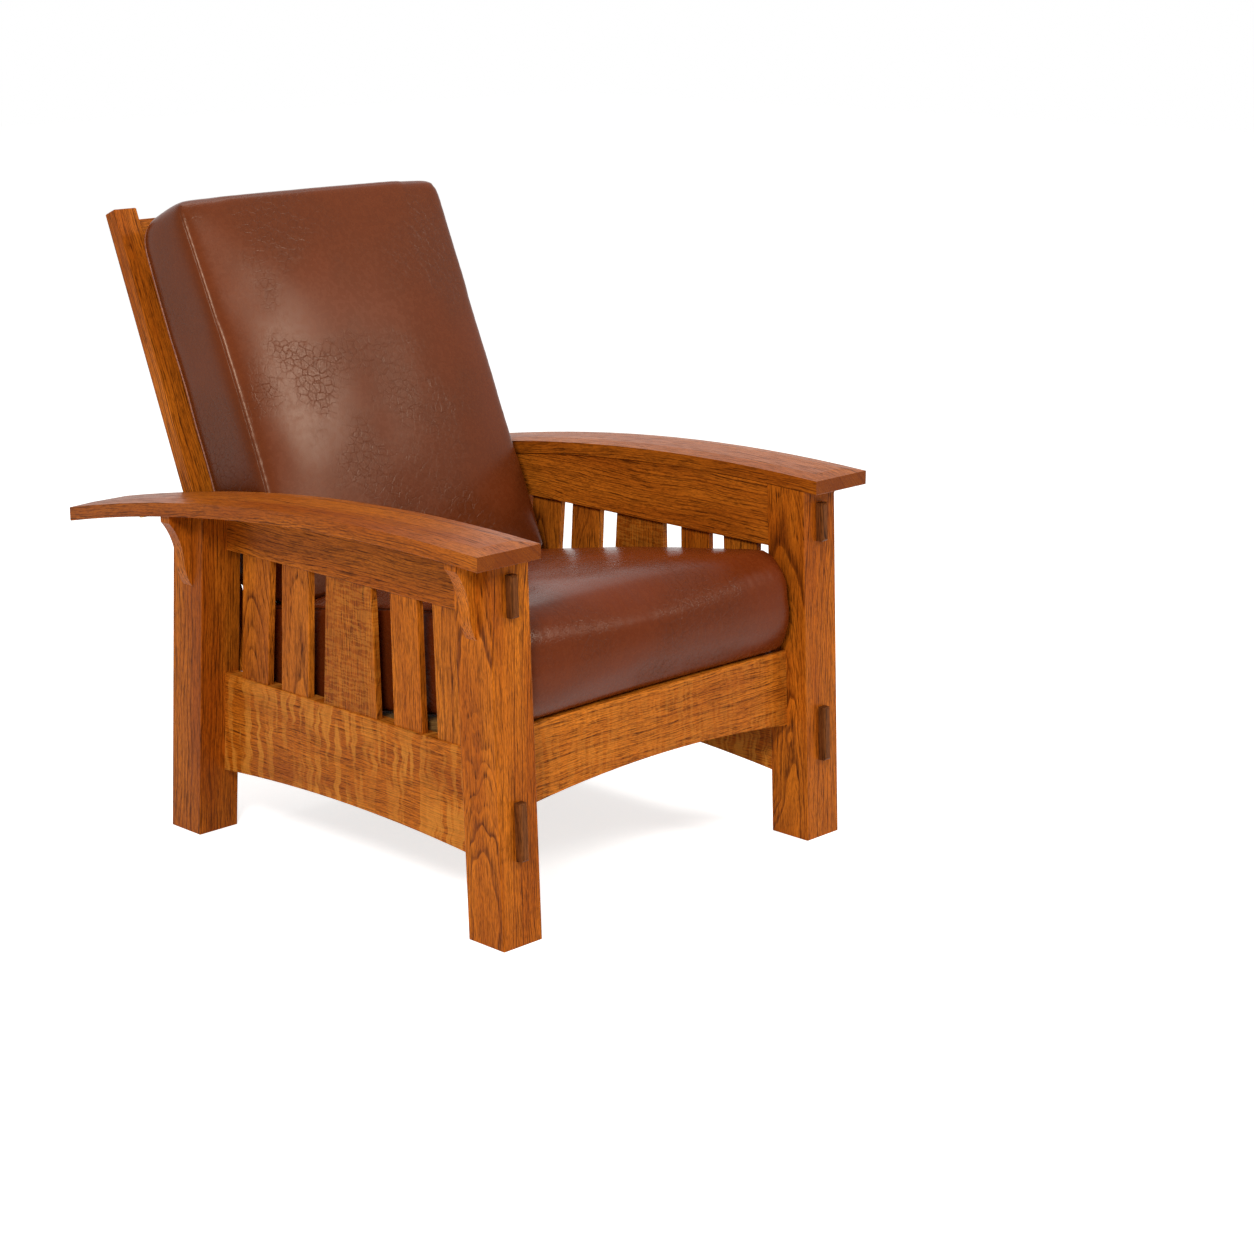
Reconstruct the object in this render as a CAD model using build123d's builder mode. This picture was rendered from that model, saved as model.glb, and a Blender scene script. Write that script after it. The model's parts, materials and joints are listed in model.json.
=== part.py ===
from build123d import *
from math import atan, cos, degrees, radians, sin, sqrt
import os

os.makedirs("parts", exist_ok=True)

# The chair faces -Y, X runs across it and Z is up. All lengths are in millimetres.
# "left" is the -X side, which is on the left of someone who looks at the chair's front.
LEFT, RIGHT = -1, 1
sides = (("left", LEFT), ("right", RIGHT))

# Legs
legs_across = 747            # outer face to outer face
leg_width = 76
leg_depth = 76
feet_span = 803              # front of a front foot to back of a rear foot
front_lean_share = 0.04      # lean back for each unit of height
rear_lean_share = 0.08       # lean forward for each unit of height
arris = 1.6                  # rounding of the long oak edges

# Arms, each one board bent to one long arc
arm_crown_high = 602.3       # top of the bend above the floor
arm_crown_back = 190         # from the front of the feet to the top of the bend
arm_bend_radius = 3750       # of the upper face
arm_thick = 25.4
arm_width = 121.5
arm_front_over = 4           # ahead of the front feet
arm_past_guide = 8.6         # behind the rod guides
arm_bevel_wide = 28          # shallow bevel round the upper face
arm_bevel_drop = 3.2
arm_seat_gap = 0.2           # between the underside and what carries it
arm_dowel_radius = 6
arm_dowel_in_leg = 34
arm_dowel_in_arm = 13

# Side panels
rail_thick = 25
side_rail_setback = 48.5     # from the legs' outer faces
upper_rail_drop = 127.3      # from the top of the arms' bend to the rail's lower edge
lower_rail_high = 269
lower_rail_end_low = 102.5
lower_rail_arch = 15.5
slat_thick = 12
slat_out = 3.5               # outwards from the middle of the rails' thickness
slat_stub = 10               # let into each rail
# Front and rear edge of each slat as shares of the opening between the legs, rearmost slat first
slat_high_shares = (
    (0.8195, 0.9375),
    (0.6595, 0.7725),
    (0.412, 0.592),
    (0.2365, 0.3415),
    (0.0585, 0.1815),
)
slat_low_shares = (
    (0.8285, 0.9375),
    (0.6635, 0.7735),
    (0.399, 0.604),
    (0.2305, 0.3355),
    (0.0705, 0.1755),
)

# Front and rear rails
front_rail_setback = 40.5    # behind the front legs' front faces
front_rail_high = 310
front_rail_end_low = 186
front_rail_arch = 19
rear_rail_setback = 12.5     # behind the rear legs' front faces
rear_rail_high = 240
rear_rail_low = 120

# Joinery
tenon_thick = 12
tenon_shoulder = 12          # from a rail's edge to its tenon's edge
side_tenon_long = 15
cross_tenon_long = 30
joint_gap = 0.1

# Dark tenon ends on the front legs
tenon_end_wide = 15
tenon_end_proud = 13
tenon_end_let_in = 20
tenon_end_chamfer = 3
lower_tenon_end_high = 174   # height of its centre
lower_tenon_end_long = 88
upper_tenon_end_drop = 81.3  # below the top of the arms' bend
upper_tenon_end_long = 62

# Corbels under the arms
corbel_thick = 23
corbel_back = 3              # behind the middle of the legs
corbel_high = 118
corbel_out = 38.5
corbel_block = 11
corbel_waist = 79            # below the arm
corbel_foot_out = 13
corbel_sweep_out_share = 0.42      # place of the hollow's middle point
corbel_sweep_down_share = 0.34
corbel_foot_bulge_share = 0.73

# Seat frame
seat_fall_share = 0.16       # fall to the rear for each unit of depth
seat_frame_side_gap = 2.5    # to the legs
seat_frame_thick = 22
seat_member_wide = 45
seat_frame_gap = 1           # behind the front rail
seat_frame_rear_gap = 3.4    # to the rear rail
web_thick = 1.5
web_wide = 50
web_count_long = 5
web_count_cross = 4
cleat_wide = 22
cleat_high = 30
cleat_end_gap = 20
screw_radius = 2.2
screw_head_radius = 4.4
screw_head_high = 2.6
screw_bite = 14
screw_gap = 0.05
cleat_screws_each = 4
cleat_screw_margin = 37.5    # from the cleat's ends

# Seat cushion, in the seat's own slope: along it from the deck's front edge and up from it
rest_gap = 0.4
seat_cushion_side_gap = 7.5  # to the legs
seat_cushion_thick = 163
seat_cushion_to_pivot = 53.8 # from its rear end to the back's pivot, along the slope
seat_nose_out = 55
seat_nose_mid = 85
seat_nose_top_back = 16
seat_nose_foot_back = 26
seat_crown = 20
seat_crown_gap = 5           # from the end of the crown to the back cushion
seat_nose_upper_shares = (0.78, 0.66)
seat_nose_lower_shares = (0.78, 0.42)
seat_rear_bulge = 5
cushion_draw = 6             # how far a side pulls in between its corners
trim_over = 3

# Reclining back
back_lean = 22.4             # degrees from plumb at rest
recline_range = 20           # degrees
pivot_in_leg = 22.9          # behind the rear legs' front faces
pivot_high = 290
back_side_gap = 4.5          # to the legs
post_width = 44
post_depth = 27.5
post_reach = 748.3           # above the pivot
post_tail = 30               # below it
back_rail_thick = 22
back_rail_setback = 2
back_rail_high = 60
back_rail_lowest = 25
back_rail_drop = 19.3        # below the posts' upper ends
back_slat_thick = 12
back_slat_high = 50
back_slat_count = 4
back_tenon_thick = 9
back_tenon_long = 26
back_tenon_shoulder = 7

# Back cushion: along the back from the pivot and forward of the posts
back_cushion_side_gap = 17.5 # to the legs
back_cushion_drop = 33       # below the posts' upper ends
back_welt_out = 68
back_front_out_top = 147
back_front_out_mid = 154
back_front_out_low = 165
back_front_crown = 22
back_top_crown = 7
back_rear_shoulder = 50      # rounding of the rear panel next to its upper and lower welts
back_rear_top_shares = (0.29, 0.71)
back_rear_foot_shares = (0.46, 0.6)
back_corner_radius = 35

# Pivots
pivot_radius = 6
pivot_clearance = 0.06
bush_wall = 2
bush_fit = 0.02
washer_gap = 0.3
pivot_washer_radius = 14
bolt_head_radius = 11
bolt_head_high = 7
bolt_in_leg = 38

# Recline rod, its forked guides on the arms' inner faces and their clamp screws
rod_radius = 5
rod_in_arm = 4               # rod's centre above the underside of the arm
rod_gap = 0.3                # behind the posts, and from the rod's ends to the arms
rod_end_chamfer = 1
slot_clearance = 0.2
guide_thick = 3.4
guide_margin = 28            # from the ends of the rod's way to the guide's ends
guide_upper_high = 10        # leg above the slot
guide_lower_high = 4         # leg below the slot
guide_screw_margin = 12
lug_wide = 17
lug_long = 19
clamp_radius = 2.5
clamp_in_lug = 8
clamp_washer_radius = 5.8
clamp_washer_thick = 1.2
knob_radius = 8
knob_long = 9
knob_round = 2

# Angles
front_lean = atan(front_lean_share)
rear_lean = atan(rear_lean_share)
seat_fall = atan(seat_fall_share)
lean = radians(back_lean)

# The origin is on the floor under the middle of the whole chair. The lower tenon ends are the
# front-most pieces and the posts' upper ends the rear-most ones.
front_most = (
    front_lean_share * lower_tenon_end_high
    - tenon_end_proud * cos(front_lean)
    - (lower_tenon_end_long / 2 - tenon_end_chamfer) * sin(front_lean)
)
pivot_back = feet_span - leg_depth - rear_lean_share * pivot_high + pivot_in_leg
rear_most = pivot_back + post_depth / 2 * cos(lean) + post_reach * sin(lean)
feet_y = -(front_most + rear_most) / 2

leg_outer = legs_across / 2
leg_inner = leg_outer - leg_width
leg_x = leg_outer - leg_width / 2
side_rail_x = leg_outer - side_rail_setback - rail_thick / 2
arm_crown_y = feet_y + arm_crown_back
arm_bend_z = arm_crown_high - arm_bend_radius
upper_rail_low = arm_crown_high - upper_rail_drop
upper_tenon_end_high = arm_crown_high - upper_tenon_end_drop
pivot_y = feet_y + pivot_back
back_across = 2 * (leg_inner - back_side_gap)
post_x = (back_across - post_width) / 2


def front_leg_front(z):
    return feet_y + front_lean_share * z


def front_leg_back(z):
    return front_leg_front(z) + leg_depth


def rear_leg_front(z):
    return feet_y + feet_span - leg_depth - rear_lean_share * z


def front_rail_back(z):
    return front_leg_front(z) + front_rail_setback + rail_thick


def rear_rail_front(z):
    return rear_leg_front(z) + rear_rail_setback


def under_arm(y, drop=0):
    """Height of the arc that lies drop below the arms' underside."""
    radius = arm_bend_radius - arm_thick - drop
    return arm_bend_z + sqrt(radius**2 - (y - arm_crown_y) ** 2)


def save(piece, name):
    piece.part.label = name
    export_step(piece.part, f"parts/{name}.step")


def trim_under_arm():
    """Cut the piece in hand to the arc under the arms."""
    with BuildSketch(Plane.YZ) as below:
        with Locations((arm_crown_y, arm_bend_z)):
            Circle(arm_bend_radius - arm_thick - arm_seat_gap)
    extrude(below.sketch, amount=legs_across, both=True, mode=Mode.INTERSECT)


def side_tenons(side, low, high, grow, mode):
    """Both tenons of a side rail as one bar, or the space for them in the legs."""
    low = low - grow
    high = high + grow
    into = side_tenon_long + grow
    with BuildSketch(Plane.YZ.offset(side * side_rail_x)) as bar:
        with BuildLine():
            Polyline(
                (front_leg_back(low) - into, low),
                (rear_leg_front(low) + into, low),
                (rear_leg_front(high) + into, high),
                (front_leg_back(high) - into, high),
                close=True,
            )
        make_face()
    extrude(bar.sketch, amount=tenon_thick / 2 + grow, both=True, mode=mode)


def cross_bar(face, thick, low, high, reach, mode):
    """A bar across the chair behind a leaning face, as wide as twice its reach."""
    with BuildSketch(Plane.YZ) as bar:
        with BuildLine():
            Polyline(
                (face(low), low),
                (face(low) + thick, low),
                (face(high) + thick, high),
                (face(high), high),
                close=True,
            )
        make_face()
    extrude(bar.sketch, amount=reach, both=True, mode=mode)


def cross_tenons(face, low, high, grow, mode):
    """Both tenons of a front or rear rail as one bar, or the space for them in the legs."""
    inset = (rail_thick - tenon_thick) / 2 - grow

    def cheek(z):
        return face(z) + inset

    cross_bar(
        cheek,
        tenon_thick + 2 * grow,
        low + tenon_shoulder - grow,
        high - tenon_shoulder + grow,
        leg_inner + cross_tenon_long + grow,
        mode,
    )


def front_rail_front(z):
    return front_leg_front(z) + front_rail_setback


def side_rail_tenon_heights():
    """Lower and upper edge of the tenons of the lower and of the upper side rail."""
    upper_edge = under_arm(rear_leg_front(arm_crown_high)) - tenon_shoulder
    return (
        (lower_rail_end_low + tenon_shoulder, lower_rail_high - tenon_shoulder),
        (upper_rail_low + tenon_shoulder, upper_edge - tenon_shoulder),
    )


def tenon_end_plane(side, height):
    """Plane on a front leg's front face, looking out of it."""
    return Plane(
        origin=(side * leg_x, front_leg_front(height), height),
        x_dir=(1, 0, 0),
        z_dir=(0, -cos(front_lean), sin(front_lean)),
    )


def leg_blank(side, foot_y, lean_share):
    """Square leg that leans along Y, cut to the arm."""
    with BuildSketch() as foot:
        with Locations((side * leg_x, foot_y)):
            RectangleRounded(leg_width, leg_depth, arris)
    extrude(
        foot.sketch,
        amount=arm_crown_high * sqrt(1 + lean_share**2),
        dir=(0, lean_share, 1),
    )
    trim_under_arm()


def dowel_y(front):
    """Middle of a leg's top."""
    if front:
        return front_leg_back(arm_crown_high) - leg_depth / 2
    return rear_leg_front(arm_crown_high) + leg_depth / 2


def dowel(side, front, radius, extra, mode):
    """Dowel that holds an arm on a leg, or its hole."""
    y = dowel_y(front)
    low = under_arm(y) - arm_dowel_in_leg - extra
    with BuildSketch(Plane.XY.offset(low)) as round_end:
        with Locations((side * leg_x, y)):
            Circle(radius)
    extrude(round_end.sketch, amount=arm_dowel_in_leg + arm_dowel_in_arm + 2 * extra, mode=mode)


# Legs
for side_name, side in sides:
    with BuildPart() as leg_front:
        leg_blank(side, feet_y + leg_depth / 2, front_lean_share)
        for low, high in side_rail_tenon_heights():
            side_tenons(side, low, high, joint_gap, Mode.SUBTRACT)
        cross_tenons(
            front_rail_front, front_rail_end_low, front_rail_high, joint_gap, Mode.SUBTRACT
        )
        dowel(side, True, arm_dowel_radius + joint_gap, joint_gap, Mode.SUBTRACT)
        for height, long in (
            (lower_tenon_end_high, lower_tenon_end_long),
            (upper_tenon_end_high, upper_tenon_end_long),
        ):
            with BuildSketch(tenon_end_plane(side, height)):
                Rectangle(tenon_end_wide + 2 * joint_gap, long + 2 * joint_gap)
            extrude(amount=-tenon_end_let_in - joint_gap, mode=Mode.SUBTRACT)
    save(leg_front, f"leg_front_{side_name}")

    with BuildPart() as leg_rear:
        leg_blank(side, feet_y + feet_span - leg_depth / 2, -rear_lean_share)
        for low, high in side_rail_tenon_heights():
            side_tenons(side, low, high, joint_gap, Mode.SUBTRACT)
        cross_tenons(rear_rail_front, rear_rail_low, rear_rail_high, joint_gap, Mode.SUBTRACT)
        dowel(side, False, arm_dowel_radius + joint_gap, joint_gap, Mode.SUBTRACT)
        with BuildSketch(Plane.YZ.offset(side * (leg_inner - joint_gap))):
            with Locations((pivot_y, pivot_high)):
                Circle(pivot_radius + joint_gap)
        extrude(amount=side * (bolt_in_leg + 2 * joint_gap), mode=Mode.SUBTRACT)
    save(leg_rear, f"leg_rear_{side_name}")

# Dark tenon ends
for group_name, height, long in (
    ("lower_tenon_ends", lower_tenon_end_high, lower_tenon_end_long),
    ("upper_tenon_ends", upper_tenon_end_high, upper_tenon_end_long),
):
    with BuildPart() as tenon_ends:
        for side_name, side in sides:
            face = tenon_end_plane(side, height)
            with BuildSketch(face.offset(-tenon_end_let_in)):
                Rectangle(tenon_end_wide, long)
            extrude(amount=tenon_end_let_in + tenon_end_proud)
        for outer in tenon_ends.faces().sort_by(Axis.Y)[: len(sides)]:
            chamfer(outer.edges(), tenon_end_chamfer)
    save(tenon_ends, group_name)

# Recline rod: where its centre lies when the back leans by an angle
def rod_centre(angle):
    """Point behind the posts at rod_in_arm over the arms' underside."""
    behind = post_depth / 2 + rod_gap + rod_radius
    start_y = pivot_y + behind * cos(angle) - arm_crown_y
    start_z = pivot_high - behind * sin(angle) - arm_bend_z
    along = start_y * sin(angle) + start_z * cos(angle)
    radius = arm_bend_radius - arm_thick + rod_in_arm
    up = -along + sqrt(along**2 - start_y**2 - start_z**2 + radius**2)
    return (
        arm_crown_y + start_y + up * sin(angle),
        arm_bend_z + start_z + up * cos(angle),
    )


rod_y, rod_z = rod_centre(lean)
rod_end_y, rod_end_z = rod_centre(lean + radians(recline_range))
rod_travel = sqrt((rod_end_y - rod_y) ** 2 + (rod_end_z - rod_z) ** 2)
slot_dir = ((rod_end_y - rod_y) / rod_travel, (rod_end_z - rod_z) / rod_travel)
slot_angle = degrees(atan(slot_dir[1] / slot_dir[0]))
slot_half = rod_radius + slot_clearance
guide_outer = leg_inner - joint_gap
guide_inner = guide_outer - guide_thick
guide_low = -slot_half - guide_lower_high
guide_high = slot_half + guide_upper_high
guide_end = rod_travel + guide_margin


def guide_point(along, up):
    """Point in side view, along the slot from the rod's rest place and square up from it."""
    return (
        rod_y + along * slot_dir[0] - up * slot_dir[1],
        rod_z + along * slot_dir[1] + up * slot_dir[0],
    )


def guide_screw_planes(side):
    """Planes on a guide's free face, looking along its screws into the arm."""
    planes = []
    for along in (guide_screw_margin - guide_margin, rod_travel / 2, rod_travel):
        y, z = guide_point(along, slot_half + guide_upper_high / 2)
        planes.append(Plane(origin=(side * guide_inner, y, z), x_dir=(0, 1, 0), z_dir=(side, 0, 0)))
    return planes


def screw(plane, long, grow, mode):
    """Countersunk screw whose head is flush with a plane, or its hole, along the plane's normal."""
    with BuildSketch(plane) as shank:
        Circle(screw_radius + grow)
    extrude(shank.sketch, amount=long + grow, mode=mode)
    with BuildSketch(plane) as head:
        Circle(screw_head_radius + grow)
    with BuildSketch(plane.offset(screw_head_high)) as neck:
        Circle(screw_radius + grow)
    loft(Sketch() + [head.sketch, neck.sketch], mode=mode)


guide_screw_long = guide_thick + joint_gap + screw_bite

# Arms
arm_front_end = feet_y - arm_front_over
arm_rear_end = guide_point(guide_end, 0)[0] + arm_past_guide
arm_length = arm_rear_end - arm_front_end
for side_name, side in sides:
    with BuildPart() as arm:
        with BuildSketch(Plane.YZ.offset(side * leg_inner)):
            with Locations((arm_crown_y, arm_bend_z)):
                Circle(arm_bend_radius)
                Circle(arm_bend_radius - arm_thick, mode=Mode.SUBTRACT)
            with Locations((arm_front_end + arm_length / 2, arm_crown_high)):
                Rectangle(arm_length, arm_crown_high, mode=Mode.INTERSECT)
        extrude(amount=side * arm_width)
        upper_face = arm.faces().filter_by(GeomType.CYLINDER).sort_by(Axis.Z)[-1]
        chamfer(
            upper_face.edges(), arm_bevel_wide, length2=arm_bevel_drop, reference=upper_face
        )
        lower_face = arm.faces().filter_by(GeomType.CYLINDER).sort_by(Axis.Z)[0]
        fillet(lower_face.edges(), arris)
        for front in (True, False):
            dowel(side, front, arm_dowel_radius + joint_gap, joint_gap, Mode.SUBTRACT)
        for plane in guide_screw_planes(side):
            screw(plane, guide_screw_long, screw_gap, Mode.SUBTRACT)
    save(arm, f"arm_{side_name}")

with BuildPart() as arm_dowels:
    for side_name, side in sides:
        for front in (True, False):
            dowel(side, front, arm_dowel_radius, 0, Mode.ADD)
save(arm_dowels, "arm_dowels")


def bay(share, z):
    """Place between the legs at a height, as a share of the opening from the front."""
    return front_leg_back(z) + share * (rear_leg_front(z) - front_leg_back(z))


def slat_edge(low_share, high_share, z):
    """Place of a slat's straight edge at a height."""
    low_y = bay(low_share, lower_rail_high)
    high_y = bay(high_share, upper_rail_low)
    return low_y + (high_y - low_y) * (z - lower_rail_high) / (upper_rail_low - lower_rail_high)


def slat(side, index, grow, mode):
    """Side slat with the stubs that enter the rails, or the space for it."""
    low_front, low_rear = slat_low_shares[index]
    high_front, high_rear = slat_high_shares[index]
    low = lower_rail_high - slat_stub - grow
    high = upper_rail_low + slat_stub + grow
    with BuildSketch(Plane.YZ.offset(side * (side_rail_x + slat_out))) as outline:
        with BuildLine():
            Polyline(
                (slat_edge(low_front, high_front, low) - grow, low),
                (slat_edge(low_rear, high_rear, low) + grow, low),
                (slat_edge(low_rear, high_rear, high) + grow, high),
                (slat_edge(low_front, high_front, high) - grow, high),
                close=True,
            )
        make_face()
    extrude(outline.sketch, amount=slat_thick / 2 + grow, both=True, mode=mode)


# Side panels
lower_tenon_heights, upper_tenon_heights = side_rail_tenon_heights()
for side_name, side in sides:
    with BuildPart() as upper_side_rail:
        with BuildSketch(Plane.YZ.offset(side * side_rail_x)):
            with BuildLine():
                Polyline(
                    (front_leg_back(upper_rail_low), upper_rail_low),
                    (rear_leg_front(upper_rail_low), upper_rail_low),
                    (rear_leg_front(arm_crown_high), arm_crown_high),
                    (front_leg_back(arm_crown_high), arm_crown_high),
                    close=True,
                )
            make_face()
        extrude(amount=rail_thick / 2, both=True)
        trim_under_arm()
        fillet(upper_side_rail.edges().filter_by(Axis.Y).group_by(Axis.Z)[0], arris)
        side_tenons(side, *upper_tenon_heights, 0, Mode.ADD)
        for index in range(len(slat_low_shares)):
            slat(side, index, joint_gap, Mode.SUBTRACT)
    save(upper_side_rail, f"upper_side_rail_{side_name}")

    with BuildPart() as lower_side_rail:
        with BuildSketch(Plane.YZ.offset(side * side_rail_x)):
            with BuildLine():
                Polyline(
                    (front_leg_back(lower_rail_end_low), lower_rail_end_low),
                    (front_leg_back(lower_rail_high), lower_rail_high),
                    (rear_leg_front(lower_rail_high), lower_rail_high),
                    (rear_leg_front(lower_rail_end_low), lower_rail_end_low),
                )
                ThreePointArc(
                    (rear_leg_front(lower_rail_end_low), lower_rail_end_low),
                    (bay(1 / 2, lower_rail_end_low), lower_rail_end_low + lower_rail_arch),
                    (front_leg_back(lower_rail_end_low), lower_rail_end_low),
                )
            make_face()
        extrude(amount=rail_thick / 2, both=True)
        fillet(lower_side_rail.edges().filter_by(Axis.Y).group_by(Axis.Z)[-1], arris)
        side_tenons(side, *lower_tenon_heights, 0, Mode.ADD)
        for index in range(len(slat_low_shares)):
            slat(side, index, joint_gap, Mode.SUBTRACT)
    save(lower_side_rail, f"lower_side_rail_{side_name}")

    for index in range(len(slat_low_shares)):
        with BuildPart() as side_slat:
            slat(side, index, 0, Mode.ADD)
            fillet(side_slat.edges().sort_by(SortBy.LENGTH)[-4:], arris)
        save(side_slat, f"side_slat_{side_name}_{index + 1}")


def deck_height(face_y, face_lean, drop):
    """Height where a face through face_y at the floor, leaning by face_lean, meets the seat's slope.

    The slope runs drop below the front rail's rear upper edge, measured straight down.
    """
    start = front_rail_high - drop - seat_fall_share * (face_y - deck_y)
    return start / (1 + seat_fall_share * face_lean)


deck_y = front_rail_back(front_rail_high)
cleat_half = leg_inner - cleat_end_gap
frame_top_drop = 2 * web_thick / cos(seat_fall)
frame_low_drop = (2 * web_thick + seat_frame_thick + joint_gap) / cos(seat_fall)
front_cleat_z = deck_height(front_rail_back(0), front_lean_share, frame_low_drop)
rear_cleat_z = deck_height(rear_rail_front(0), -rear_lean_share, frame_low_drop)


def cleat_screw_planes(front):
    """Planes on a cleat's free face, looking along its screws into the rail."""
    planes = []
    for index in range(cleat_screws_each):
        x = (index / (cleat_screws_each - 1) - 1 / 2) * 2 * (cleat_half - cleat_screw_margin)
        if front:
            z = front_cleat_z - cleat_high / 2
            origin = (x, front_rail_back(z) + cleat_wide, z)
            facing = (0, -cos(front_lean), sin(front_lean))
        else:
            z = rear_cleat_z - cleat_high / 2
            origin = (x, rear_rail_front(z) - cleat_wide, z)
            facing = (0, cos(rear_lean), sin(rear_lean))
        planes.append(Plane(origin=origin, x_dir=(1, 0, 0), z_dir=facing))
    return planes


# Front and rear rails
with BuildPart() as front_rail:
    cross_bar(front_rail_front, rail_thick, front_rail_end_low, front_rail_high, leg_inner, Mode.ADD)
    with BuildSketch(Plane.XZ.offset(-feet_y)):
        with BuildLine():
            Polyline(
                (leg_inner, front_rail_end_low),
                (leg_inner, 0),
                (-leg_inner, 0),
                (-leg_inner, front_rail_end_low),
            )
            ThreePointArc(
                (-leg_inner, front_rail_end_low),
                (0, front_rail_end_low + front_rail_arch),
                (leg_inner, front_rail_end_low),
            )
        make_face()
    extrude(amount=-feet_span, mode=Mode.SUBTRACT)
    fillet(front_rail.edges().filter_by(Axis.X).group_by(Axis.Z)[-1], arris)
    cross_tenons(
        front_rail_front,
        front_rail_end_low + front_rail_arch,
        front_rail_high,
        0,
        Mode.ADD,
    )
    for plane in cleat_screw_planes(True):
        screw(plane, cleat_wide + screw_bite, screw_gap, Mode.SUBTRACT)
save(front_rail, "front_rail")

with BuildPart() as rear_rail:
    cross_bar(rear_rail_front, rail_thick, rear_rail_low, rear_rail_high, leg_inner, Mode.ADD)
    fillet(rear_rail.edges().filter_by(Axis.X), arris)
    cross_tenons(rear_rail_front, rear_rail_low, rear_rail_high, 0, Mode.ADD)
    for plane in cleat_screw_planes(False):
        screw(plane, cleat_wide + screw_bite, screw_gap, Mode.SUBTRACT)
save(rear_rail, "rear_rail")

# Corbels
corbel_places = (
    ("front", front_leg_back(upper_rail_low) - leg_depth / 2 + corbel_back),
    ("rear", rear_leg_front(upper_rail_low) + leg_depth / 2 + corbel_back),
)
for side_name, side in sides:
    for end_name, corbel_y in corbel_places:
        top = under_arm(corbel_y)

        def at(out, down):
            return (side * (leg_outer + out), top - down)

        with BuildPart() as corbel:
            with BuildSketch(Plane.XZ.offset(-corbel_y)):
                with BuildLine():
                    Polyline(
                        at(0, corbel_high),
                        at(0, -arm_thick),
                        at(corbel_out, -arm_thick),
                        at(corbel_out, corbel_block),
                    )
                    ThreePointArc(
                        at(corbel_out, corbel_block),
                        at(
                            corbel_foot_out
                            + (corbel_out - corbel_foot_out) * corbel_sweep_out_share,
                            corbel_block
                            + (corbel_waist - corbel_block) * corbel_sweep_down_share,
                        ),
                        at(corbel_foot_out, corbel_waist),
                    )
                    ThreePointArc(
                        at(corbel_foot_out, corbel_waist),
                        at(
                            corbel_foot_out * corbel_foot_bulge_share,
                            (corbel_waist + corbel_high) / 2,
                        ),
                        at(0, corbel_high),
                    )
                make_face()
            extrude(amount=corbel_thick / 2, both=True)
            trim_under_arm()
        save(corbel, f"corbel_{end_name}_{side_name}")

# Seat frame on its cleats
seat_plane = Plane(
    origin=(0, deck_y, front_rail_high),
    x_dir=(1, 0, 0),
    z_dir=(0, sin(seat_fall), cos(seat_fall)),
)
seat_front_gap = seat_frame_gap + (2 * web_thick + seat_frame_thick) * seat_fall_share
frame_plane = seat_plane.offset(-2 * web_thick - seat_frame_thick)
rear_top = deck_height(rear_rail_front(0), -rear_lean_share, 0)
seat_frame_across = 2 * (leg_inner - seat_frame_side_gap)
seat_frame_deep = (
    (rear_rail_front(rear_top) - deck_y) / cos(seat_fall) - seat_front_gap - seat_frame_rear_gap
)
member_half = (seat_frame_across - seat_member_wide) / 2
side_member_long = seat_frame_deep - 2 * seat_member_wide

for member_name, member_y in (
    ("front", seat_front_gap + seat_member_wide / 2),
    ("rear", seat_front_gap + seat_frame_deep - seat_member_wide / 2),
):
    with BuildPart() as seat_member:
        with BuildSketch(frame_plane):
            with Locations((0, member_y)):
                Rectangle(seat_frame_across, seat_member_wide)
        extrude(amount=seat_frame_thick)
    save(seat_member, f"seat_frame_{member_name}")

for side_name, side in sides:
    with BuildPart() as seat_member:
        with BuildSketch(frame_plane):
            with Locations((side * member_half, seat_front_gap + seat_frame_deep / 2)):
                Rectangle(seat_member_wide, side_member_long)
        extrude(amount=seat_frame_thick)
    save(seat_member, f"seat_frame_{side_name}")

web_pitch_across = (seat_frame_across - 2 * seat_member_wide) / web_count_long
web_pitch_deep = side_member_long / web_count_cross
with BuildPart() as webbing_lengthwise:
    with BuildSketch(seat_plane.offset(-2 * web_thick)):
        with Locations((0, seat_front_gap + seat_frame_deep / 2)):
            with GridLocations(web_pitch_across, 0, web_count_long, 1):
                Rectangle(web_wide, seat_frame_deep - seat_member_wide)
    extrude(amount=web_thick)
save(webbing_lengthwise, "webbing_lengthwise")

with BuildPart() as webbing_crosswise:
    with BuildSketch(seat_plane.offset(-web_thick)):
        with Locations((0, seat_front_gap + seat_frame_deep / 2)):
            with GridLocations(0, web_pitch_deep, 1, web_count_cross):
                Rectangle(seat_frame_across - seat_member_wide, web_wide)
    extrude(amount=web_thick)
save(webbing_crosswise, "webbing_crosswise")

for cleat_name, front in (("seat_cleat_front", True), ("seat_cleat_rear", False)):
    if front:
        inner_face, step, top, fall = front_rail_back, cleat_wide, front_cleat_z, 1
    else:
        inner_face, step, top, fall = rear_rail_front, -cleat_wide, rear_cleat_z, -1
    with BuildPart() as cleat:
        with BuildSketch(Plane.YZ):
            with BuildLine():
                Polyline(
                    (inner_face(top), top),
                    (inner_face(top) + step, top - fall * seat_fall_share * cleat_wide),
                    (inner_face(top - cleat_high) + step, top - cleat_high),
                    (inner_face(top - cleat_high), top - cleat_high),
                    close=True,
                )
            make_face()
        extrude(amount=cleat_half, both=True)
        for plane in cleat_screw_planes(front):
            screw(plane, cleat_wide + screw_bite, screw_gap, Mode.SUBTRACT)
    save(cleat, cleat_name)

with BuildPart() as cleat_screws:
    for plane in cleat_screw_planes(True) + cleat_screw_planes(False):
        screw(plane, cleat_wide + screw_bite, 0, Mode.ADD)
save(cleat_screws, "cleat_screws")


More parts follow.
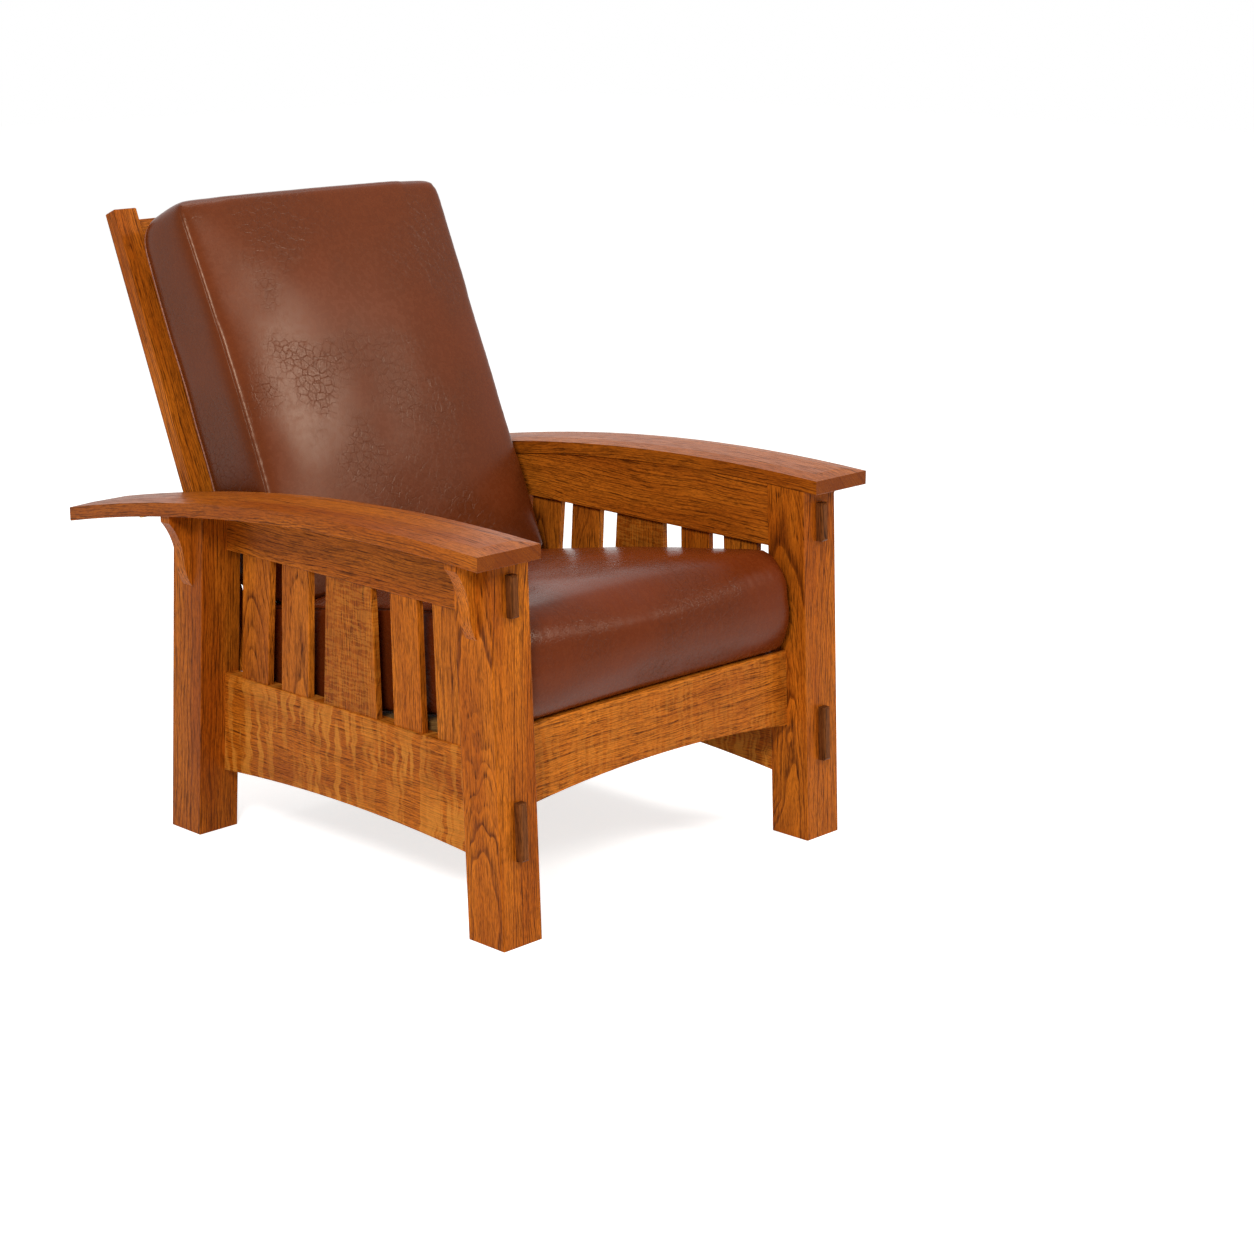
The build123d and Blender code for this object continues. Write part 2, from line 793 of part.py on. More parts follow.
def rest_line(forward):
    """How far up the back the seat cushion's top lies, at a distance forward of the pivot."""
    turn = lean - seat_fall
    level = (
        seat_cushion_thick
        + rest_gap
        - (pivot_y - deck_y) * sin(seat_fall)
        - (pivot_high - front_rail_high) * cos(seat_fall)
    )
    return (level - forward * sin(turn)) / cos(turn)


# Both cushions: where the back cushion stands on the seat cushion, along the seat
back_cushion_half = leg_inner - back_cushion_side_gap
back_cushion_top = post_reach - back_cushion_drop
posts_front = post_depth / 2
welt = posts_front + back_welt_out
front_top = posts_front + back_front_out_top
front_mid = posts_front + back_front_out_mid
front_low = posts_front + back_front_out_low
rear_low = rest_line(welt)
fore_low = rest_line(front_low)
back_foot_y = pivot_y + fore_low * sin(lean) - front_low * cos(lean)
back_foot_z = pivot_high + fore_low * cos(lean) + front_low * sin(lean)
back_foot = (back_foot_y - deck_y) * cos(seat_fall) - (back_foot_z - front_rail_high) * sin(seat_fall)
seat_crown_end = back_foot - seat_crown_gap
seat_cushion_half = leg_inner - seat_cushion_side_gap
seat_cushion_rear = (
    (pivot_y - deck_y) * cos(seat_fall)
    + (front_rail_high - pivot_high) * sin(seat_fall)
    - seat_cushion_to_pivot
)

# Seat cushion: crowned, with a round nose, and flat under the back cushion
section_shares = (-1, -0.6, 0, 0.6, 1)
crown_shares = (0.06, 0.78, 1, 0.78, 0.06)
with BuildPart() as seat_cushion:
    for section_share, crown_share in zip(section_shares, crown_shares):
        section_plane = Plane(
            origin=(section_share * (seat_cushion_half + trim_over), deck_y, front_rail_high),
            x_dir=(0, cos(seat_fall), -sin(seat_fall)),
            z_dir=(1, 0, 0),
        )
        with BuildSketch(section_plane):
            with BuildLine():
                Line((-seat_nose_foot_back, rest_gap), (seat_cushion_rear, rest_gap))
                ThreePointArc(
                    (seat_cushion_rear, rest_gap),
                    (
                        seat_cushion_rear + seat_rear_bulge * crown_share,
                        (rest_gap + seat_cushion_thick) / 2,
                    ),
                    (seat_cushion_rear, seat_cushion_thick),
                )
                Line(
                    (seat_cushion_rear, seat_cushion_thick),
                    (seat_crown_end, seat_cushion_thick),
                )
                ThreePointArc(
                    (seat_crown_end, seat_cushion_thick),
                    (
                        (seat_crown_end - seat_nose_top_back) / 2,
                        seat_cushion_thick + seat_crown * crown_share,
                    ),
                    (-seat_nose_top_back, seat_cushion_thick),
                )
                ThreePointArc(
                    (-seat_nose_top_back, seat_cushion_thick),
                    (
                        -seat_nose_top_back
                        - (seat_nose_out - seat_nose_top_back) * seat_nose_upper_shares[0],
                        seat_nose_mid
                        + (seat_cushion_thick - seat_nose_mid) * seat_nose_upper_shares[1],
                    ),
                    (-seat_nose_out, seat_nose_mid),
                )
                ThreePointArc(
                    (-seat_nose_out, seat_nose_mid),
                    (
                        -seat_nose_foot_back
                        - (seat_nose_out - seat_nose_foot_back) * seat_nose_lower_shares[0],
                        seat_nose_mid * seat_nose_lower_shares[1],
                    ),
                    (-seat_nose_foot_back, rest_gap),
                )
            make_face()
    loft()
    with BuildSketch(seat_plane.offset(-trim_over)):
        with BuildLine():
            ends = (-seat_nose_out - trim_over, seat_cushion_rear)
            for side_name, side in sides:
                ThreePointArc(
                    (side * seat_cushion_half, ends[0]),
                    (side * (seat_cushion_half - cushion_draw), (ends[0] + ends[1]) / 2),
                    (side * seat_cushion_half, ends[1] + seat_rear_bulge + trim_over),
                )
            for end in (ends[0], ends[1] + seat_rear_bulge + trim_over):
                Line((LEFT * seat_cushion_half, end), (RIGHT * seat_cushion_half, end))
        make_face()
    extrude(amount=2 * seat_cushion_thick, mode=Mode.INTERSECT)
save(seat_cushion, "seat_cushion")

# Reclining back: cross-section plane square to the posts at the pivot
back_plane = Plane(
    origin=(0, pivot_y, pivot_high),
    x_dir=(1, 0, 0),
    z_dir=(0, sin(lean), cos(lean)),
)
back_rail_top = post_reach - back_rail_drop
slat_room = back_rail_top - back_rail_high - back_rail_lowest - back_rail_high
back_slat_pitch = (slat_room + back_slat_high) / (back_slat_count + 1)
back_members = [
    ("back_bottom_rail", back_rail_lowest, back_rail_high, back_rail_thick, back_rail_setback),
    (
        "back_top_rail",
        back_rail_top - back_rail_high,
        back_rail_high,
        back_rail_thick,
        back_rail_setback,
    ),
]
for index in range(back_slat_count):
    back_slat_low = (
        back_rail_lowest + back_rail_high - back_slat_high + (index + 1) * back_slat_pitch
    )
    back_members.append(
        (f"back_slat_{index + 1}", back_slat_low, back_slat_high, back_slat_thick, 0)
    )


def back_tenons(low, high, depth_middle, grow, mode):
    """Both tenons of a cross member of the back as one bar, or the space for them."""
    with BuildSketch(back_plane.offset(low + back_tenon_shoulder - grow)) as bar:
        with Locations((0, depth_middle)):
            Rectangle(
                back_across - 2 * post_width + 2 * (back_tenon_long + grow),
                back_tenon_thick + 2 * grow,
            )
    extrude(bar.sketch, amount=high - 2 * back_tenon_shoulder + 2 * grow, mode=mode)


for side_name, side in sides:
    with BuildPart() as back_post:
        with BuildSketch(back_plane.offset(-post_tail)):
            with Locations((side * post_x, 0)):
                RectangleRounded(post_width, post_depth, arris)
        extrude(amount=post_tail + post_reach)
        for member_name, low, high, thick, setback in back_members:
            depth_middle = setback + (thick - post_depth) / 2
            back_tenons(low, high, depth_middle, joint_gap, Mode.SUBTRACT)
        with BuildSketch(Plane.YZ.offset(side * post_x)):
            with Locations((pivot_y, pivot_high)):
                Circle(pivot_radius + pivot_clearance + bush_wall + bush_fit)
        extrude(amount=post_width, both=True, mode=Mode.SUBTRACT)
        chamfer(back_post.faces().sort_by(Axis.Z)[-1].edges(), arris)
    save(back_post, f"back_post_{side_name}")

for member_name, low, high, thick, setback in back_members:
    depth_middle = setback + (thick - post_depth) / 2
    with BuildPart() as back_member:
        with BuildSketch(back_plane.offset(low)):
            with Locations((0, depth_middle)):
                Rectangle(back_across - 2 * post_width, thick)
        extrude(amount=high)
        fillet(back_member.edges().filter_by(Axis.X), arris)
        back_tenons(low, high, depth_middle, 0, Mode.ADD)
    save(back_member, member_name)


# Back cushion: crowned to the front and to the slats behind it
back_section_shares = (-1, -0.93, -0.78, -0.45, 0, 0.45, 0.78, 0.93, 1)
back_front_shares = (0.06, 0.34, 0.64, 0.9, 1, 0.9, 0.64, 0.34, 0.06)
back_rear_shares = (0.06, 0.85, 0.94, 0.93, 0.92, 0.93, 0.94, 0.85, 0.06)
back_crown = back_welt_out - rest_gap
with BuildPart() as back_cushion:
    for section_share, crown_share, rear_share in zip(
        back_section_shares, back_front_shares, back_rear_shares
    ):
        bulge = back_crown * rear_share
        section_plane = Plane(
            origin=(section_share * (back_cushion_half + trim_over), pivot_y, pivot_high),
            x_dir=(0, sin(lean), cos(lean)),
            z_dir=(1, 0, 0),
        )
        with BuildSketch(section_plane):
            with BuildLine():
                Line((rear_low, welt), (fore_low, front_low))
                ThreePointArc(
                    (fore_low, front_low),
                    (
                        (fore_low + back_cushion_top) / 2,
                        front_mid + back_front_crown * crown_share,
                    ),
                    (back_cushion_top, front_top),
                )
                ThreePointArc(
                    (back_cushion_top, front_top),
                    (back_cushion_top + back_top_crown * crown_share, (front_top + welt) / 2),
                    (back_cushion_top, welt),
                )
                ThreePointArc(
                    (back_cushion_top, welt),
                    (
                        back_cushion_top - back_rear_shoulder * back_rear_top_shares[0],
                        welt - bulge * back_rear_top_shares[1],
                    ),
                    (back_cushion_top - back_rear_shoulder, welt - bulge),
                )
                Line(
                    (back_cushion_top - back_rear_shoulder, welt - bulge),
                    (rear_low + back_rear_shoulder, welt - bulge),
                )
                ThreePointArc(
                    (rear_low + back_rear_shoulder, welt - bulge),
                    (
                        rear_low + back_rear_shoulder * back_rear_foot_shares[0],
                        welt - bulge * back_rear_foot_shares[1],
                    ),
                    (rear_low, welt),
                )
            make_face()
    loft()
    with BuildSketch(
        Plane(
            origin=(0, pivot_y, pivot_high),
            x_dir=(1, 0, 0),
            z_dir=(0, -cos(lean), sin(lean)),
        )
    ) as face_outline:
        with BuildLine():
            ends = (0, back_cushion_top + back_top_crown)
            for side_name, side in sides:
                ThreePointArc(
                    (side * back_cushion_half, ends[0]),
                    (side * (back_cushion_half - cushion_draw), (ends[0] + ends[1]) / 2),
                    (side * back_cushion_half, ends[1]),
                )
            for end in ends:
                Line((LEFT * back_cushion_half, end), (RIGHT * back_cushion_half, end))
        make_face()
        fillet(face_outline.vertices().group_by(Axis.Y)[-1], back_corner_radius)
    extrude(amount=front_low + back_welt_out, mode=Mode.INTERSECT)
save(back_cushion, "back_cushion")

# Pivots: bush in each post, bolt into each rear leg, washer between them
side_gap = leg_inner - back_across / 2
post_inner = back_across / 2 - post_width


def pivot_disc(side, start, long, radius, mode):
    """Round of the pivot, from a distance off the middle of the chair outwards."""
    with BuildSketch(Plane.YZ.offset(side * start)) as disc:
        with Locations((pivot_y, pivot_high)):
            Circle(radius)
    extrude(disc.sketch, amount=side * long, mode=mode)


with BuildPart() as pivot_bushes:
    for side_name, side in sides:
        pivot_disc(
            side, post_inner, post_width, pivot_radius + pivot_clearance + bush_wall, Mode.ADD
        )
        pivot_disc(side, post_inner, post_width, pivot_radius + pivot_clearance, Mode.SUBTRACT)
save(pivot_bushes, "pivot_bushes")

with BuildPart() as pivot_washers:
    for side_name, side in sides:
        start = back_across / 2 + washer_gap
        pivot_disc(side, start, side_gap - washer_gap, pivot_washer_radius, Mode.ADD)
        pivot_disc(
            side, start, side_gap - washer_gap, pivot_radius + pivot_clearance, Mode.SUBTRACT
        )
save(pivot_washers, "pivot_washers")

with BuildPart() as pivot_bolts:
    for side_name, side in sides:
        start = post_inner - washer_gap
        pivot_disc(
            side, start, leg_inner + bolt_in_leg - start, pivot_radius, Mode.ADD
        )
        with BuildSketch(Plane.YZ.offset(side * start)):
            with Locations((pivot_y, pivot_high)):
                RegularPolygon(bolt_head_radius, 6)
        extrude(amount=-side * bolt_head_high)
save(pivot_bolts, "pivot_bolts")

# Rod guides, each a fork that is open to the rear, where a clamp screw draws its legs together
def guide_bar(side, start, end, low, high, wide, mode):
    """Bar of a guide, or a space in it, from the arm's inner face inwards."""
    with BuildSketch(Plane.YZ.offset(side * guide_outer)) as bar:
        with BuildLine():
            Polyline(
                guide_point(start, low),
                guide_point(end, low),
                guide_point(end, high),
                guide_point(start, high),
                close=True,
            )
        make_face()
    extrude(bar.sketch, amount=-side * wide, mode=mode)


clamp_along = guide_end - lug_long / 2
clamp_y, clamp_z = guide_point(clamp_along, guide_low)


def clamp_plane(side):
    """Plane on the lower lug's free face, looking up the clamp screw."""
    return Plane(
        origin=(side * (guide_outer - lug_wide / 2), clamp_y, clamp_z),
        x_dir=(1, 0, 0),
        z_dir=(0, -slot_dir[1], slot_dir[0]),
    )


clamp_reach = guide_lower_high + 2 * slot_half + clamp_in_lug
for side_name, side in sides:
    with BuildPart() as rod_guide:
        guide_bar(side, -guide_margin, guide_end, guide_low, guide_high, guide_thick, Mode.ADD)
        lug_start = guide_end - lug_long
        guide_bar(side, lug_start, guide_end, guide_low, guide_high, lug_wide, Mode.ADD)
        guide_bar(
            side, 0, guide_end + guide_margin, -slot_half, slot_half, lug_wide, Mode.SUBTRACT
        )
        with BuildSketch(Plane.YZ.offset(side * guide_outer)):
            with Locations((rod_y, rod_z)):
                Circle(slot_half)
        extrude(amount=-side * guide_thick, mode=Mode.SUBTRACT)
        for plane in guide_screw_planes(side):
            screw(plane, guide_screw_long, screw_gap, Mode.SUBTRACT)
        with BuildSketch(clamp_plane(side)):
            Circle(clamp_radius + joint_gap)
        extrude(amount=clamp_reach + joint_gap, mode=Mode.SUBTRACT)
    save(rod_guide, f"rod_guide_{side_name}")

with BuildPart() as guide_screws:
    for side_name, side in sides:
        for plane in guide_screw_planes(side):
            screw(plane, guide_screw_long, 0, Mode.ADD)
save(guide_screws, "guide_screws")

# Clamp screws with turned heads, and a washer under each guide
with BuildPart() as clamp_washers:
    for side_name, side in sides:
        with BuildSketch(clamp_plane(side).offset(-joint_gap)):
            Circle(clamp_washer_radius)
            Circle(clamp_radius + joint_gap, mode=Mode.SUBTRACT)
        extrude(amount=-clamp_washer_thick)
save(clamp_washers, "clamp_washers")

knob_top = clamp_washer_thick + 2 * joint_gap
for side_name, side in sides:
    with BuildPart() as clamp_screw:
        with BuildSketch(clamp_plane(side).offset(-knob_top)):
            Circle(knob_radius)
        extrude(amount=-knob_long)
        fillet(clamp_screw.edges().filter_by(GeomType.CIRCLE), knob_round)
        with BuildSketch(clamp_plane(side).offset(-knob_top)):
            Circle(clamp_radius)
        extrude(amount=knob_top + clamp_reach)
    save(clamp_screw, f"clamp_screw_{side_name}")

# Recline rod, whose ends run in the guides' slots
with BuildPart() as recline_rod:
    with BuildSketch(Plane.YZ):
        with Locations((rod_y, rod_z)):
            Circle(rod_radius)
    extrude(amount=leg_inner - rod_gap, both=True)
    chamfer(recline_rod.edges().filter_by(GeomType.CIRCLE), rod_end_chamfer)
save(recline_rod, "recline_rod")

print("rod rests at", rod_y, rod_z, "and travels", rod_travel, "at", slot_angle, "degrees")
print("clamp screws at", guide_outer - lug_wide / 2, clamp_y, clamp_z)
print("pivot at", pivot_y, pivot_high, "and feet from", feet_y)
print("arms from", arm_front_end, "to", arm_rear_end, "and", 2 * (leg_inner + arm_width), "overall")
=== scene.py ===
"""Looks of a mission reclining armchair: stained oak, leather, steel and brass fittings."""

import json
from functools import partial
from math import atan, copysign, cos, exp, pi, radians, sin

import bmesh
import bpy
import numpy as np
from mathutils import Euler, Matrix, Vector, noise
from mathutils.bvhtree import BVHTree

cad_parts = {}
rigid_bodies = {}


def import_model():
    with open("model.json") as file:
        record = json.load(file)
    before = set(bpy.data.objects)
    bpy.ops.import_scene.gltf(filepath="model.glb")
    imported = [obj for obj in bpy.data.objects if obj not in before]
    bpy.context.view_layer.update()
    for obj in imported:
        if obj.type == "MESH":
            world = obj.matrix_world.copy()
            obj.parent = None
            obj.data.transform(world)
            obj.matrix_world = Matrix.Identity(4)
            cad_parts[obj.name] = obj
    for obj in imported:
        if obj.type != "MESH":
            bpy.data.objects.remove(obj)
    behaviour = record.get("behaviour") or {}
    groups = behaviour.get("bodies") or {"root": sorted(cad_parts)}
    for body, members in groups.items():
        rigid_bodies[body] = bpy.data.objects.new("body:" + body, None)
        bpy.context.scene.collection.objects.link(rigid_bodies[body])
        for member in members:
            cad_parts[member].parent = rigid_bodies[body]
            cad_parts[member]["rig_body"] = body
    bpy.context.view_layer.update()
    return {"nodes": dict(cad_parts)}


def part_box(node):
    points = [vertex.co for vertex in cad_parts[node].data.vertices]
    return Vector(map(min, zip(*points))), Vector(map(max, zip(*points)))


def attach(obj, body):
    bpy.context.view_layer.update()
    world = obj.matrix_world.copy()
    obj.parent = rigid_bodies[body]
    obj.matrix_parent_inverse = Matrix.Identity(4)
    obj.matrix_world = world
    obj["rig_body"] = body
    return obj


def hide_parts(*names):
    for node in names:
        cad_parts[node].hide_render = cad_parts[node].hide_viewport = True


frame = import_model()
scene = bpy.context.scene
nodes = frame["nodes"]
MM = 0.001

# The part's own sizes, in metres. The chair faces -Y.
FRONT_LEAN = atan(0.04)
REAR_LEAN = atan(0.08)
BACK_LEAN = radians(22.4)
SEAT_FALL = atan(0.16)
FEET_Y = -0.50845  # front of the front feet
PIVOT = Vector((0, 0.21825, 0.290))  # of the back, in the chair's middle plane
DECK = Vector((0, FEET_Y + 0.0779, 0.310))  # front edge of what carries the seat cushion
ARM_CROWN_Y = FEET_Y + 0.190
ARM_BEND = 3.75  # radius
LEG_INNER = 0.2975  # from the middle plane to the legs' inner faces
SEAT_THICK = 0.163
SEAT_UNDER_BACK = 0.478  # from the deck's front edge to where the back cushion stands on the seat
POSTS_FRONT = 0.01375  # from the pivots to the posts' front faces

# How a cushion's cover is blown up
COVER_MESH = 5.5 * MM
SEAM_STRIP = 7 * MM  # on each side of a seam, keeps its place
STUFFING_FRAMES = 20
TAUT = 0.8  # share of the folds that the leather pulls out
TAUT_ROUNDS = 24
# Its seams: how deep and wide they sink in, and how deep and long their puckers are
GROOVE = (0.4 * MM, 3 * MM)
PUCKER = (0.35 * MM, 16 * MM)
PUCKERS = 75  # to a metre of seam

# Directions: across the chair, to its rear, up, and those of the leaning parts
ACROSS = Vector((1, 0, 0))
REARWARD = Vector((0, 1, 0))
UP = Vector((0, 0, 1))
FRONT_LEG_UP = Vector((0, sin(FRONT_LEAN), cos(FRONT_LEAN)))
REAR_LEG_UP = Vector((0, -sin(REAR_LEAN), cos(REAR_LEAN)))
BACK_UP = Vector((0, sin(BACK_LEAN), cos(BACK_LEAN)))
BACK_FORWARD = Vector((0, -cos(BACK_LEAN), sin(BACK_LEAN)))
SEAT_ALONG = Vector((0, cos(SEAT_FALL), -sin(SEAT_FALL)))
SEAT_UP = Vector((0, sin(SEAT_FALL), cos(SEAT_FALL)))


def linear(colour):
    """An sRGB hex colour as the linear values that sockets take."""
    parts = []
    for start in (1, 3, 5):
        value = int(colour[start : start + 2], 16) / 255
        parts.append(value / 12.92 if value <= 0.04045 else ((value + 0.055) / 1.055) ** 2.4)
    return (*parts, 1)


def feed(node, sockets):
    """Sets or links input sockets of a node."""
    for socket, value in dict(sockets).items():
        if isinstance(value, bpy.types.NodeSocket):
            node.id_data.links.new(value, node.inputs[socket])
        else:
            node.inputs[socket].default_value = value


def add(tree, kind, inputs=(), stops=(), out=0, **settings):
    """Adds a node: its settings, a ramp's stops and its inputs. Returns one of its outputs."""
    node = tree.nodes.new(kind)
    for name, value in settings.items():
        setattr(node, name, value)
    for index, (place, value) in enumerate(stops):
        elements = node.color_ramp.elements
        stop = elements[index] if index < len(elements) else elements.new(place)
        stop.position = place
        stop.color = linear(value) if isinstance(value, str) else (value, value, value, 1)
    feed(node, inputs)
    return node.outputs[out] if len(node.outputs) else None


def new_material(name):
    """A material with an empty tree, a shorthand that adds to it, and its surface shader."""
    material = bpy.data.materials.new(name)
    material.use_nodes = True
    tree = material.node_tree
    tree.nodes.clear()
    put = partial(add, tree)
    surface = put("ShaderNodeBsdfPrincipled")
    put("ShaderNodeOutputMaterial", {"Surface": surface})
    return material, put, surface.node


def seen_white(put):
    """Adds what is 1 for a ray from the camera, a mirror or a glass, and 0 for the rest."""
    rays = put("ShaderNodeLightPath").node.outputs
    seen = put(
        "ShaderNodeMath", {0: rays["Is Camera Ray"], 1: rays["Is Glossy Ray"]}, operation="ADD"
    )
    return put("ShaderNodeMath", {0: seen, 1: rays["Is Transmission Ray"]}, operation="ADD")


def placed(name, data):
    """A new object in the scene, at the origin."""
    thing = bpy.data.objects.new(name, data)
    scene.collection.objects.link(thing)
    return thing


def dress(name, material):
    """Gives a CAD node its material."""
    slots = nodes[name].data.materials
    slots.clear()
    slots.append(material)


# Each wood's light and deep ground, growth lines, pores and ray flakes, and what its wax mirrors
OAK = ("#cd701a", "#a8520f", "#652a08", "#3c1704", "#d68a33")
WALNUT = ("#7d4620", "#633414", "#43200b", "#2b1306", "#8a5530")
# Maple coloured a dull tan, darker than raw maple: painted shade for the pieces deep inside the
# seat
MAPLE_IN_SHADE = ("#94703f", "#856138", "#74522c", "#604020", "#a07c4c")
WAX = "#ffd9a8"
# The marks of wood, so many to a metre along the grain and across it. Pores are drawn 2 mm wide
# and 40 mm long and the ticks between them 1 mm and 9 mm, several times their real size, so that
# they show from a few steps away.
DRIFT = (3.2, 9, 9)
CLOUDS = (2.6, 18, 18)
PORES = (26, 560, 560)
TICKS = (110, 900, 900)
FLAKE_PATCHES = (8, 14, 4)
STRAY = 0.03  # twice what the growth lines wander, at the most
HEART_BELOW = 0.4  # from a board's middle down to the tip of the cones that its rings make


def board(
    node, finish, stain, along, across, heart,
    taper=0.05, growth=4.0, lines=0.85, flake=0.0, ray=1.0, shade=0.0, wax=0.08, bent=False,
):
    """Sawn wood, stained and waxed to a satin sheen.

    The eye gets growth lines, straight where the cut runs through the tree's heart and arched where
    it runs beside it, dark pores along the grain, on quarter-sawn oak pale wavy flakes across it,
    and ends that drank more stain. heart is how far the tree's heart lay from the board's middle,
    across it and through it, and taper how fast the rings narrow along it. growth is the width of
    a year's growth in millimetres, 2 to 3 in a real tree and 4 where it has to show from a few
    steps away, and lines is how dark its lines are. flake is how bright the ray flakes are and ray
    their size against large ones. A shade above 0 deepens the stain and one below 0 thins it. wax
    is how much the surface mirrors.
    """
    material, put, shader = new_material(f"{finish}_{node}")
    ground, deep, late, pore_tint, ray_tint = map(linear, stain)
    aim = late if shade > 0 else ray_tint
    ground, deep = (
        tuple(part + (goal - part) * abs(shade) for part, goal in zip(tint, aim))
        for tint in (ground, deep)
    )
    # Each board is cut from another place of the pattern
    seed = len(bpy.data.materials)
    chance = (seed * 3.7, seed * 1.9, seed * 2.3)
    place = put("ShaderNodeTexCoord", out="Object")
    facing = place.node.outputs["Normal"]
    if bent:
        # The grain follows the arm's bend
        parts = put("ShaderNodeSeparateXYZ", {0: place}).node.outputs
        behind = put("ShaderNodeMath", {0: parts[1], 1: ARM_CROWN_Y}, operation="SUBTRACT")
        squared = put("ShaderNodeMath", {0: behind, 1: behind}, operation="MULTIPLY")
        lift = put(
            "ShaderNodeMath",
            {0: squared, 1: 0.5 / ARM_BEND, 2: parts[2]},
            operation="MULTIPLY_ADD",
        )
        place = put("ShaderNodeCombineXYZ", {0: parts[0], 1: parts[1], 2: lift})
    low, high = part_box(node)
    turn = Matrix((along, across, along.cross(across)))
    grain = put(
        "ShaderNodeMapping",
        {
            "Vector": place,
            "Rotation": turn.to_euler(),
            "Location": -(turn @ ((Vector(low) + Vector(high)) / 2)),
        },
    )

    # The growth lines wander by some millimetres along the board
    spread = put("ShaderNodeMapping", {"Vector": grain, "Scale": DRIFT, "Location": chance})
    drift = put("ShaderNodeTexNoise", {"Vector": spread, "Scale": 1.0, "Detail": 3.0}, out="Color")
    drift = put("ShaderNodeVectorMath", {0: drift, 1: (0.5, 0.5, 0.5)}, operation="SUBTRACT")
    wander = put(
        "ShaderNodeVectorMath",
        {0: drift, 1: (0.0, STRAY, STRAY), 2: grain},
        operation="MULTIPLY_ADD",
    )
    from_heart = put(
        "ShaderNodeMapping",
        {
            "Vector": wander,
            "Location": (HEART_BELOW * taper, -heart[0], -heart[1]),
            "Scale": (taper, 1, 1),
        },
    )
    radius = put("ShaderNodeVectorMath", {0: from_heart}, operation="LENGTH", out="Value")
    rings = put("ShaderNodeMath", {0: radius, 1: 1 / (growth * MM)}, operation="MULTIPLY")
    uneven = put(
        "ShaderNodeTexNoise", {"W": rings, "Scale": 0.31, "Detail": 1.0}, noise_dimensions="1D"
    )
    rings = put("ShaderNodeMath", {0: uneven, 1: 3.0, 2: rings}, operation="MULTIPLY_ADD")
    phase = put("ShaderNodeMath", {0: rings}, operation="FRACT")
    early = put("ShaderNodeValToRGB", {0: phase}, ((0, 0.5), (0.1, 1.0), (0.3, 0.4), (0.75, 0)))
    # Some growth lines are strong and others faint, and they break up along the board
    strength = put(
        "ShaderNodeTexNoise", {"W": rings, "Scale": 0.8, "Detail": 0.0}, noise_dimensions="1D"
    )
    strength = put("ShaderNodeMapRange", {0: strength, 1: 0.3, 2: 0.65, 3: 0.2 * lines, 4: lines})
    line = put("ShaderNodeMath", {0: early, 1: strength}, operation="MULTIPLY")

    spread = put("ShaderNodeMapping", {"Vector": wander, "Scale": PORES, "Location": chance})
    pores = put("ShaderNodeTexNoise", {"Vector": spread, "Scale": 1.0, "Detail": 2.0})
    pores = put("ShaderNodeValToRGB", {0: pores}, ((0.48, 0), (0.62, 1)))
    spread = put("ShaderNodeMapping", {"Vector": wander, "Scale": TICKS, "Location": chance})
    ticks = put("ShaderNodeTexNoise", {"Vector": spread, "Scale": 1.0, "Detail": 1.0})
    ticks = put("ShaderNodeValToRGB", {0: ticks}, ((0.5, 0), (0.62, 1)))
    spread = put("ShaderNodeMapping", {"Vector": grain, "Scale": CLOUDS, "Location": chance})
    broad = put("ShaderNodeTexNoise", {"Vector": spread, "Scale": 1.0, "Detail": 4.0})
    broad = put("ShaderNodeValToRGB", {0: broad}, ((0.36, 0), (0.64, 1)))

    colour = put("ShaderNodeMix", {0: broad, 6: ground, 7: deep}, data_type="RGBA", out=2)
    colour = put("ShaderNodeMix", {0: line, 6: colour, 7: late}, data_type="RGBA", out=2)
    share = put("ShaderNodeMath", {0: early, 1: 0.55, 2: 0.4}, operation="MULTIPLY_ADD")
    pore = put("ShaderNodeMath", {0: pores, 1: share}, operation="MULTIPLY")
    colour = put("ShaderNodeMix", {0: pore, 6: colour, 7: pore_tint}, data_type="RGBA", out=2)
    tick = put("ShaderNodeMath", {0: ticks, 1: 0.4}, operation="MULTIPLY")
    colour = put("ShaderNodeMix", {0: tick, 6: colour, 7: pore_tint}, data_type="RGBA", out=2)
    if flake:
        # Ray flakes: ribbons some 16 mm apart at their largest that cross the grain in small waves
        spread = put(
            "ShaderNodeMapping",
            {"Vector": grain, "Scale": (14 / ray, 46 / ray, 6), "Location": chance},
        )
        waves = put(
            "ShaderNodeTexNoise", {"Vector": spread, "Scale": 1.0, "Detail": 2.0}, out="Color"
        )
        waves = put("ShaderNodeVectorMath", {0: waves, 1: (0.5, 0.5, 0.5)}, operation="SUBTRACT")
        ribbons = put(
            "ShaderNodeVectorMath",
            {0: waves, 1: (0.022 * ray, 0.0, 0.0), 2: grain},
            operation="MULTIPLY_ADD",
        )
        spread = put(
            "ShaderNodeMapping",
            {"Vector": ribbons, "Scale": (66 / ray, 7 / ray, 5), "Location": chance},
        )
        rays = put("ShaderNodeTexNoise", {"Vector": spread, "Scale": 1.0, "Detail": 2.0})
        rays = put("ShaderNodeValToRGB", {0: rays}, ((0.46, 0), (0.56, 1), (0.68, 0.6)))
        spread = put(
            "ShaderNodeMapping", {"Vector": grain, "Scale": FLAKE_PATCHES, "Location": chance}
        )
        where = put("ShaderNodeTexNoise", {"Vector": spread, "Scale": 1.0, "Detail": 2.0})
        where = put("ShaderNodeMapRange", {0: where, 1: 0.36, 2: 0.58, 3: 0.3 * flake, 4: flake})
        ribbon = put("ShaderNodeMath", {0: rays, 1: where}, operation="MULTIPLY")
        colour = put("ShaderNodeMix", {0: ribbon, 6: colour, 7: ray_tint}, data_type="RGBA", out=2)
